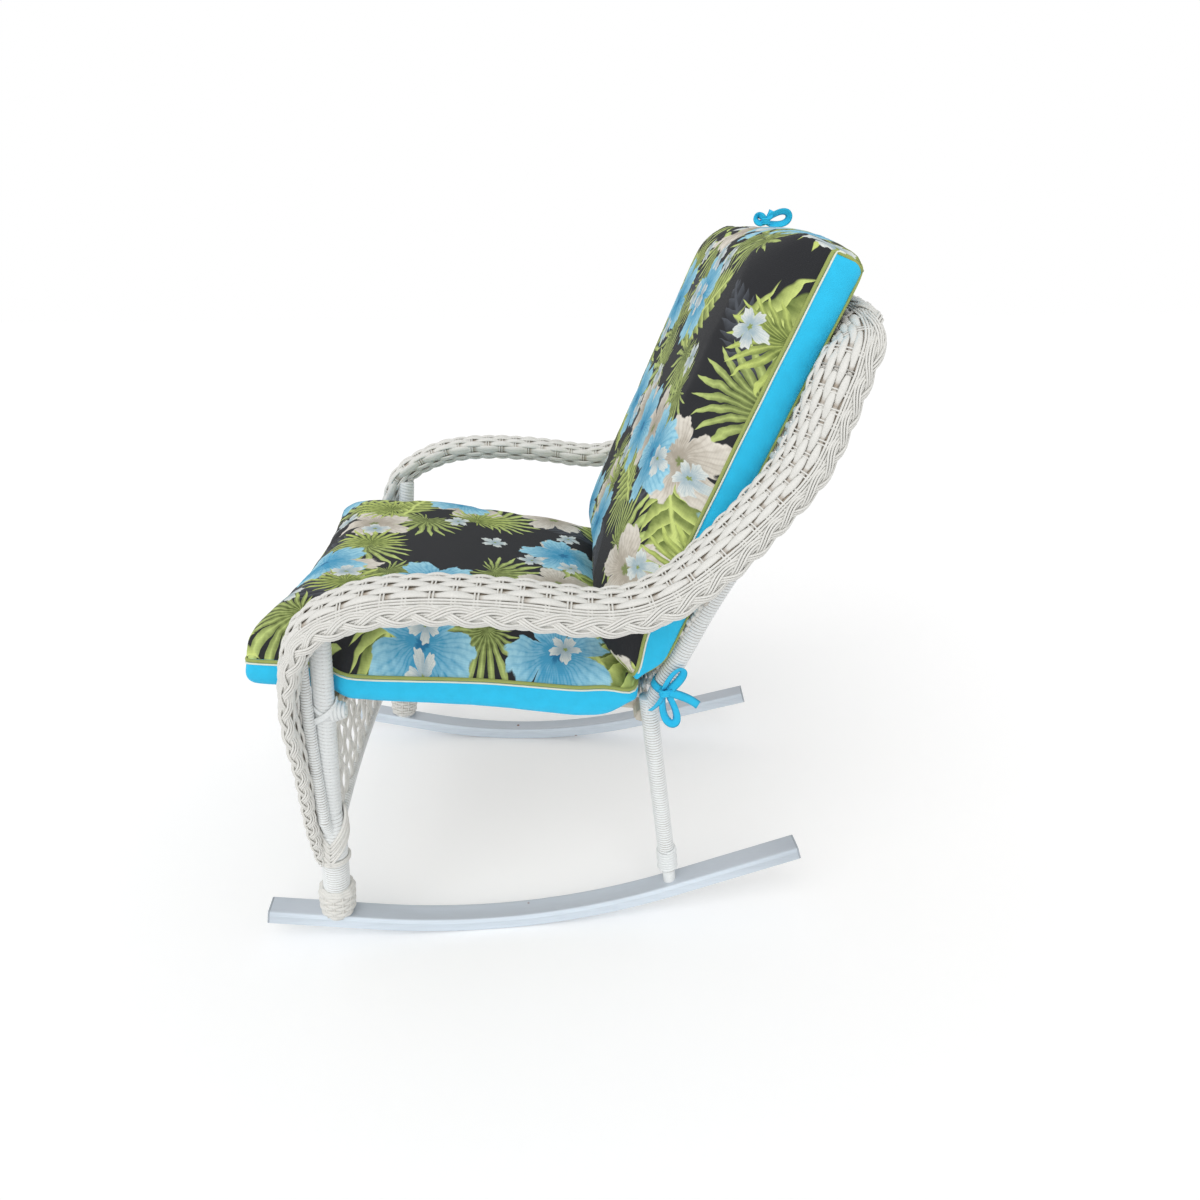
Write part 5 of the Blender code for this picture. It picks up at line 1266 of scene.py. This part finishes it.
class Pad:
    """One half of the hinged cushion: a box cushion of printed panels with plain boxing between them.

    seam is the height of the boxing and crown the rise of the panel over it. crease is 1 or -1, for the end
    that lies at the hinge. The other end bows out by bow and hangs over by over. bulge is the swell of the
    sides, tuck the steepness of the panel at the hinge, and fall the share of the crown that is lost there.
    """
    # Share of the crown by the distance in from the seam
    crown_rise = ((0.0, 0.0), (0.005, 0.40), (0.012, 0.62), (0.028, 0.82), (0.065, 0.94), (0.120, 0.99),
                  (0.300, 1.0))
    nx, ny = 60, 54
    drawn_in = 0.007

    def __init__(self, half, length, place, **form):
        self.half, self.half_length, self.place = half, length / 2, place
        for name in ("seam", "crown", "crease", "bow", "over", "bulge", "tuck", "fall"):
            setattr(self, name, form[name])

    def plan(self, a, b):
        """Flat place of a panel's grid point, with rounded corners and drawn-in sides."""
        most = max(abs(a), abs(b), 1e-6)
        soft = most / (abs(a) ** 40 + abs(b) ** 40) ** (1 / 40) if most > 0.3 else 1.0
        bow = self.bow if b * self.crease < 0 else -self.drawn_in
        # The sides swell out behind the front legs
        side = self.bulge * eased((b + 0.60) / 0.16) * (1 - 0.5 * eased((b + 0.42) / 0.8))
        side = side * eased((1 - b) / 0.3) - self.drawn_in * (1 - b * b)
        return (a * soft * (self.half + side * abs(a)),
                b * soft * (self.half_length + bow * (1 - a * a) * abs(b)))

    def pulled(self, x, y, height):
        """Local place after the cover is drawn into the crease, and at its corners towards the ties."""
        near = eased((self.crease * y / self.half_length - 0.74) / 0.26)
        side = np.clip((abs(x) / self.half - 0.72) / 0.28, 0, 1)
        corner = near * side
        low = np.clip(1 - height / self.seam, 0, 1)
        reach = 0.014 * near + (0.003 if self.crease > 0 else -0.010) * corner
        last = eased((self.crease * y / self.half_length - 0.85) / 0.15)
        lift = low * last * (0.010 + 0.014 * side)
        if self.crease > 0:
            # The lower edge curls up towards the front; folds run from the ties over the rear corners
            lift += low * side * 0.010 * np.clip(0.6 - 0.8 * y / self.half_length, 0, 1)
            lift += (1 - low) * corner * 0.006 * np.sin(95 * (abs(x) - y))
        else:
            height = height * (1 - 0.30 * corner)
        return x, y + self.crease * reach, height + lift

    def mesh(self, name):
        """Both panels and the boxing between them, with the cut cloth's places as texture coordinates."""
        a_s, b_s = np.linspace(-1, 1, self.nx + 1), np.linspace(-1, 1, self.ny + 1)
        flat = np.array([[self.plan(a, b) for a in a_s] for b in b_s])
        ends = (1 - np.abs(b_s)) * self.half_length
        top = flat.copy()
        top[..., 1] -= (self.crease * self.over * (self.crease * b_s < 0)
                        * np.exp(-ends / 0.040) * (1 - np.exp(-ends / 0.008)))[:, None]
        flat = flat.reshape(-1, 2)
        ends = ends * np.where(self.crease * b_s > 0, self.tuck, 1.0)
        inset = np.minimum((1 - np.abs(a_s))[None, :] * self.half, ends[:, None])
        steep = np.array(self.crown_rise).T
        crown = self.crown * (1 - self.fall * eased((self.crease * b_s + 0.5) / 1.2))
        rise = self.seam + crown[:, None] * np.interp(inset, *steep)
        count = (self.nx + 1) * (self.ny + 1)
        index = np.arange(count).reshape(self.ny + 1, self.nx + 1)
        loop = np.concatenate([index[0, :-1], index[:-1, -1], index[-1, :0:-1], index[:0:-1, 0]])
        points = [(x, y, h) for (x, y), h in zip(top.reshape(-1, 2), rise.reshape(-1))]
        points += [(x * 0.985, y * 0.985, 0.0) for x, y in flat]
        faces, kinds, uvs = [], [], []

        def face(corners, kind, uv):
            faces.append(corners)
            kinds.append(kind)
            uvs.extend(uv)

        for shift, order in ((0, 1), (count, -1)):
            # The panels are cut from different places in the cloth
            cut = vec(3.1 * (shift > 0) + 0.77 * (self.crease > 0), 0.0)
            for j in range(self.ny):
                for i in range(self.nx):
                    corners = [index[j, i], index[j, i + 1], index[j + 1, i + 1], index[j + 1, i]][::order]
                    face([int(c) + shift for c in corners], 0, flat[corners] + cut)
        run = run_along(flat[np.append(loop, loop[0])])
        rows = [0.0, 0.25, 0.5, 0.75, 1.0]
        rings = [loop + count]
        for level in rows[1:-1]:
            start = len(points)
            grow = 1 + 0.003 / self.half * math.sin(math.pi * level)
            points += [(x * grow, y * grow, self.seam * level) for x, y in flat[loop]]
            rings.append(np.arange(start, start + len(loop)))
        rings.append(loop)
        first, last = self.nx + self.ny, 2 * self.nx + self.ny
        for k in range(len(rings) - 1):
            for i in range(len(loop)):
                n = (i + 1) % len(loop)
                corners = [int(rings[k][i]), int(rings[k][n]), int(rings[k + 1][n]), int(rings[k + 1][i])]
                low, high = rows[k] * self.seam, rows[k + 1] * self.seam
                if self.crease < 0 and first <= i < last:
                    # The print runs on over the top of the back
                    drops = self.seam - np.array([low, low, high, high])
                    face(corners, 0, flat[loop[[i, n, n, i]]] + np.stack([0 * drops, drops], axis=1))
                else:
                    face(corners, 1, [(run[i], low), (run[i + 1], low), (run[i + 1], high), (run[i], high)])
        mesh = bpy.data.meshes.new(name)
        mesh.from_pydata([self.place(*self.pulled(*p)) + SHIFT for p in points], [], faces)
        mesh.polygons.foreach_set("material_index", kinds)
        layer = mesh.uv_layers.new(name="flat")
        layer.data.foreach_set("uv", np.array(uvs, float).reshape(-1))
        self.top_loop, self.low_loop = loop, loop + count
        rise_up, run_down = [ring[last] for ring in rings[:-1]], [ring[first] for ring in rings[-2::-1]]
        self.side_seam = np.concatenate([rise_up, loop[last:], loop[:first + 1], run_down])
        self.held = np.arange(count, 2 * count)
        self.sewn = np.concatenate([loop, np.arange(2 * count, len(points))])
        return mesh

    def swell(self, obj, cushion):
        """Fill the cover by cloth simulation, with its resting side held and its seams stiff."""
        start = coordinates(obj.data)
        group = obj.vertex_groups.new(name="held")
        group.add([int(i) for i in self.held], 1.0, "REPLACE")
        group.add([int(i) for i in self.sewn], 0.75, "REPLACE")
        cloth = obj.modifiers.new("filling", "CLOTH")
        values = cloth.settings
        values.quality = 6
        values.mass = 0.25
        values.tension_stiffness = values.compression_stiffness = 18.0
        values.shear_stiffness = 6.0
        values.bending_stiffness = 0.6
        values.shrink_min = -0.03
        values.use_pressure = True
        values.uniform_pressure_force = cushion.pressure
        values.effector_weights.gravity = 0.0
        values.vertex_group_mass = "held"
        cloth.point_cache.frame_start, cloth.point_cache.frame_end = 1, cushion.steps
        scene = bpy.context.scene
        for step in range(1, cushion.steps + 1):
            scene.frame_set(step)
        seen = obj.evaluated_get(bpy.context.evaluated_depsgraph_get())
        shift = coordinates(seen.data) - start
        reach = np.linalg.norm(shift, axis=1, keepdims=True)
        most = 0.022
        shift *= np.minimum(1.0, most / np.maximum(reach, 1e-9))
        obj.modifiers.remove(cloth)
        obj.vertex_groups.clear()
        obj.data.vertices.foreach_set("co", (start + shift).reshape(-1))
        obj.data.update()
        scene.frame_set(1)


def seam_cord(skin, points, radius, lift, closed=True, sides=8):
    """Cord along a seam's points, smoothed twice."""
    for _ in range(2):
        smooth = (np.roll(points, 1, axis=0) + 2 * points + np.roll(points, -1, axis=0)) / 4
        if not closed:
            smooth[[0, -1]] = points[[0, -1]]
        points = smooth
    skin.tube(points + lift, radius, closed=closed, sides=sides)


def with_uv(obj):
    """Texture coordinates in metres for a strip or cord, whose fine weave needs no seam to match."""
    layer = obj.data.uv_layers.new(name="flat")
    corner = np.empty(len(obj.data.loops), int)
    obj.data.loops.foreach_get("vertex_index", corner)
    x, y, z = coordinates(obj.data)[corner].T
    layer.data.foreach_set("uv", np.stack([x + y, z], axis=1).reshape(-1))


class ChairCushionsOperator(bpy.types.Operator):
    """Sew and fill the two halves of the cushion, pipe their seams and join them"""
    bl_idname = "chair.cushions"
    bl_label = "Cushions"

    def execute(self, context):
        cushion = context.scene.chair_cushion
        printed = printed_cloth(cushion)
        plain = plain_cloth("dyed_plain_weave_canvas", cushion.plain[:])
        # The cloth of the piping and its white flange is finer than the boxing's, and just as matt
        green = plain_cloth("bias_cut_piping_cloth", cushion.cord[:], 0.0012)
        white = plain_cloth("bleached_piping_flange_cloth", linear("E6EBDD"), 0.0012)
        seat_middle = SEAT_PAD_LENGTH / 2 + SEAT_PAD_FRONT
        back_middle = BACK_PAD_FOOT + BACK_PAD_LENGTH / 2

        def on_seat(x, y, height):
            return seat_point(x, seat_middle, CUSHION_LIFT + height) + SEAT_ALONG * y

        def on_back(x, y, height):
            return back_point(x, back_middle + y, GAP + height)

        pads = {"seat": Pad(SEAT_PAD_HALF, SEAT_PAD_LENGTH, on_seat, seam=0.045, crown=0.052, crease=1,
                            bow=-Pad.drawn_in, over=0.018, bulge=0.027, tuck=0.55, fall=0.24),
                "back": Pad(BACK_PAD_HALF, BACK_PAD_LENGTH, on_back, seam=0.042, crown=0.049, crease=-1,
                            bow=BACK_PAD_BOW, over=0.022, bulge=0.0, tuck=1.5, fall=0.0)}
        for name, pad in pads.items():
            mesh = pad.mesh(name + "_cushion_cover")
            obj = add_piece(mesh.name, mesh, printed, [name + "_cushion"])
            mesh.materials.append(plain)
            pad.swell(obj, cushion)
            co = coordinates(mesh) - SHIFT
            self.round_off(obj)
            self.pipe(name, pad, co, cushion.piping, green, white)
        self.hinge(on_seat, on_back, plain)
        return {"FINISHED"}

    def pipe(self, name, pad, co, radius, green, white):
        """Piping with its flange round the seat's seam and along the back's three open sides."""
        all_round = name == "seat"
        up = SEAT_UP if all_round else BACK_FRONT
        seam = co[pad.top_loop if all_round else pad.side_seam]
        skin = Skin()
        seam_cord(skin, seam, radius, up * 0.0012, all_round)
        if not all_round:
            seam_cord(skin, co[pad.low_loop], radius * 0.7, up * 0.001)
            seam = seam[3:-3]
        with_uv(skin.piece(name + "_cushion_piping", green, "tie_cloth"))
        skin = Skin()
        aside = seam - seam.mean(axis=0)
        aside = unit(aside - up * (aside @ up)[:, None])
        seam_cord(skin, seam + aside * 0.0018, 0.0013, up * -0.0024, all_round, sides=6)
        with_uv(skin.piece(name + "_piping_flange", white, "tie_cloth"))

    def round_off(self, obj):
        """One subdivision, applied to the mesh."""
        step = obj.modifiers.new("round", "SUBSURF")
        step.levels = step.render_levels = 1
        seen = obj.evaluated_get(bpy.context.evaluated_depsgraph_get())
        mesh = bpy.data.meshes.new_from_object(seen)
        obj.modifiers.remove(step)
        old = obj.data
        obj.data = mesh
        mesh.name = old.name
        mesh.shade_smooth()
        bpy.data.meshes.remove(old)

    def hinge(self, on_seat, on_back, plain):
        """Strip of boxing cloth sewn from the seat's rear edge to the foot of the back."""
        across = np.linspace(-HINGE_HALF, HINGE_HALF, 64)
        near = np.array([on_seat(x, SEAT_PAD_LENGTH / 2 - 0.004, 0.016) for x in across])
        far = np.array([on_back(x, -BACK_PAD_LENGTH / 2 + 0.004, 0.020) for x in across])
        rows = []
        for share in np.linspace(0, 1, 10):
            fold = np.sin(across * 70 + 3 * share)[:, None] * 0.0012 - 0.003 * math.sin(math.pi * share)
            rows.append(near * (1 - share) + far * share + fold * BACK_FRONT)
        rows = np.array(rows)
        skin = Skin()
        skin.grid(rows, wrap=False)
        obj = skin.piece("cushion_hinge_strip", plain, "tie_cloth", ["cushion_hinge"])
        with_uv(obj)
        length = float(run_along(rows[:, len(across) // 2])[-1])


class ChairTiesOperator(bpy.types.Operator):
    """Tie the cloth ribbons in bows round the rear posts and over the top of the back"""
    bl_idname = "chair.ties"
    bl_label = "Ties"

    # Each strand of a bow: angle up from +Y in degrees, length, spread of a loop or sag of a tail
    rear_loops = ((56, 0.040, 0.011), (-76, 0.050, 0.013))
    rear_tails = ((4, 0.046, -0.026), (-118, 0.040, 0.006))
    top_loops = ((12, 0.037, 0.014), (162, 0.017, 0.007))
    top_tails = ((48, 0.015, 0.004), (128, 0.018, -0.004))
    # Round the ribbon's section: share of its half width, and rise
    section = ((-1, -0.0005), (-0.4, 0.0008), (0.4, 0.0008), (1, -0.0005), (0.4, -0.0006), (-0.4, -0.0006))

    def execute(self, context):
        cushion = context.scene.chair_cushion
        plain = plain_cloth("dyed_tie_canvas", cushion.plain[:])
        width = cushion.tie
        for name, side in SIDES:
            middle = post_point(side, SEAT_REAR_HEIGHT + 0.061)
            along = unit(flip(POST_LEAN, side))
            first, second = square_to(along)
            knot = middle + vec(side * (POST + 0.0085), 0, 0)
            turns = np.linspace(0, 2 * math.pi, 33)[:, None]
            strap = middle + (first * np.cos(turns) + second * np.sin(turns)) * (POST + 0.0018)
            bow = self.bow(knot, vec(side, 0, 0), self.rear_loops, self.rear_tails)
            self.ribbon(name + "_rear_tie_bow", strap, bow, along, knot, vec(side, 0, 0), width, plain,
                        name + "_rear_tie", [name + "_back_post_winding"])
        bowed = BACK_PAD_BOW * (1 - (TOP_TIE_AT / BACK_PAD_HALF) ** 2)
        top = BACK_PAD_FOOT + BACK_PAD_LENGTH + bowed
        knot = back_point(TOP_TIE_AT, top + 0.016, 0.034)
        strap = np.array([back_point(TOP_TIE_AT, up, front) for up, front in
                          ((0.545, -0.003), (0.575, -0.0015), (0.605, -0.001), (top + 0.002, -0.001),
                           (top + 0.006, 0.006), (top + 0.010, 0.018), (top + 0.014, 0.032))])
        bow = self.bow(knot, vec(1, 0, 0), self.top_loops, self.top_tails)
        self.ribbon("top_tie_bow", strap, bow, vec(1, 0, 0), knot, vec(1, 0, 0), width, plain, "top_tie",
                    ["back_cushion_cover"])
        return {"FINISHED"}

    def bow(self, knot, out, loops, tails):
        """Two loops and two tails, close to the plane of Y and Z."""
        right, up = vec(0, 1, 0), vec(0, 0, 1)
        strands = []
        for degrees, length, spread in loops + tails:
            turn = math.radians(degrees)
            reach = right * math.cos(turn) + up * math.sin(turn)
            swing = up * math.cos(turn) - right * math.sin(turn)
            if (degrees, length, spread) in loops:
                t = np.linspace(-0.5, 0.5, 28)[:, None] * math.pi
                path = knot + reach * length * np.cos(t) + swing * np.sin(t) * (spread * np.cos(t) + 0.003)
                path = path + out * 0.006 * np.cos(t) * np.sin(t)
            else:
                share = np.linspace(0, 1, 18)[:, None]
                path = knot + reach * length * share + up * spread * share ** 2
                path = path + out * 0.004 * np.sin(4 * share)
            strands.append(path)
        return strands

    def ribbon(self, name, strap, bow, across, knot, out, width, plain, node, rests):
        """Flat ribbon of one tie, turned half towards the eye in its bow, with its knot."""
        skin, total = Skin(), 0.0
        for path in [strap] + bow:
            along = unit(np.gradient(path, axis=0))
            half = np.full((len(path), 1), width / 2)
            if path is strap:
                wide = np.broadcast_to(across, path.shape)
            else:
                wide = unit(out * 0.6 + np.cross(along, out) * 0.8)
                # Gathered where it comes out of the knot
                off = np.linalg.norm(path - knot, axis=1, keepdims=True)
                half = half * np.clip(0.45 + off / 0.018, 0.45, 1.0)
            thick = unit(np.cross(along, wide))
            rows = [path + wide * half * share + thick * lift for share, lift in self.section]
            skin.grid(capped(np.stack(rows, axis=1), path))
            total += float(run_along(path)[-1])
        turn = np.linspace(0, 2 * math.pi, 14, endpoint=False)[:, None]
        for lift in (-0.0030, 0.0, 0.0030):
            ring = knot + vec(0, 0, lift) + (vec(0, 1, 0) * np.cos(turn) + out * np.sin(turn)) * 0.0058
            skin.tube(ring, 0.0021, closed=True)
        obj = skin.piece(name, plain, "tie_cloth", [node])
        with_uv(obj)


# Panel and registration

class ChairPanel(bpy.types.Panel):
    """Sizes, colours and steps of the chair"""
    bl_idname = "VIEW3D_PT_wicker_chair"
    bl_label = "Wicker rocking chair"
    bl_space_type = "VIEW_3D"
    bl_region_type = "UI"
    bl_category = "Chair"

    def draw(self, context):
        for group in ("chair_wicker", "chair_metal", "chair_cushion", "chair_stage"):
            values = getattr(context.scene, group)
            box = self.layout.box()
            for key in values.__annotations__:
                box.prop(values, key)
        for operator in OPERATORS:
            self.layout.operator(operator.bl_idname)


GROUPS = {"chair_wicker": ChairWicker, "chair_metal": ChairMetal, "chair_cushion": ChairCushion,
          "chair_stage": ChairStage}
OPERATORS = (ChairStageOperator, ChairRockersOperator, ChairPolesOperator, ChairBandsOperator,
             ChairPanelsOperator, ChairApronOperator, ChairBindingsOperator, ChairCushionsOperator,
             ChairTiesOperator)


def register():
    for name, group in GROUPS.items():
        bpy.utils.register_class(group)
        setattr(bpy.types.Scene, name, PointerProperty(type=group))
    for operator in OPERATORS:
        bpy.utils.register_class(operator)
    bpy.utils.register_class(ChairPanel)


def unregister():
    bpy.utils.unregister_class(ChairPanel)
    for operator in reversed(OPERATORS):
        bpy.utils.unregister_class(operator)
    for name, group in GROUPS.items():
        delattr(bpy.types.Scene, name)
        bpy.utils.unregister_class(group)


def main():
    register()
    for operator in OPERATORS:
        family, name = operator.bl_idname.split(".")
        getattr(getattr(bpy.ops, family), name)()


if __name__ == "__main__":
    main()
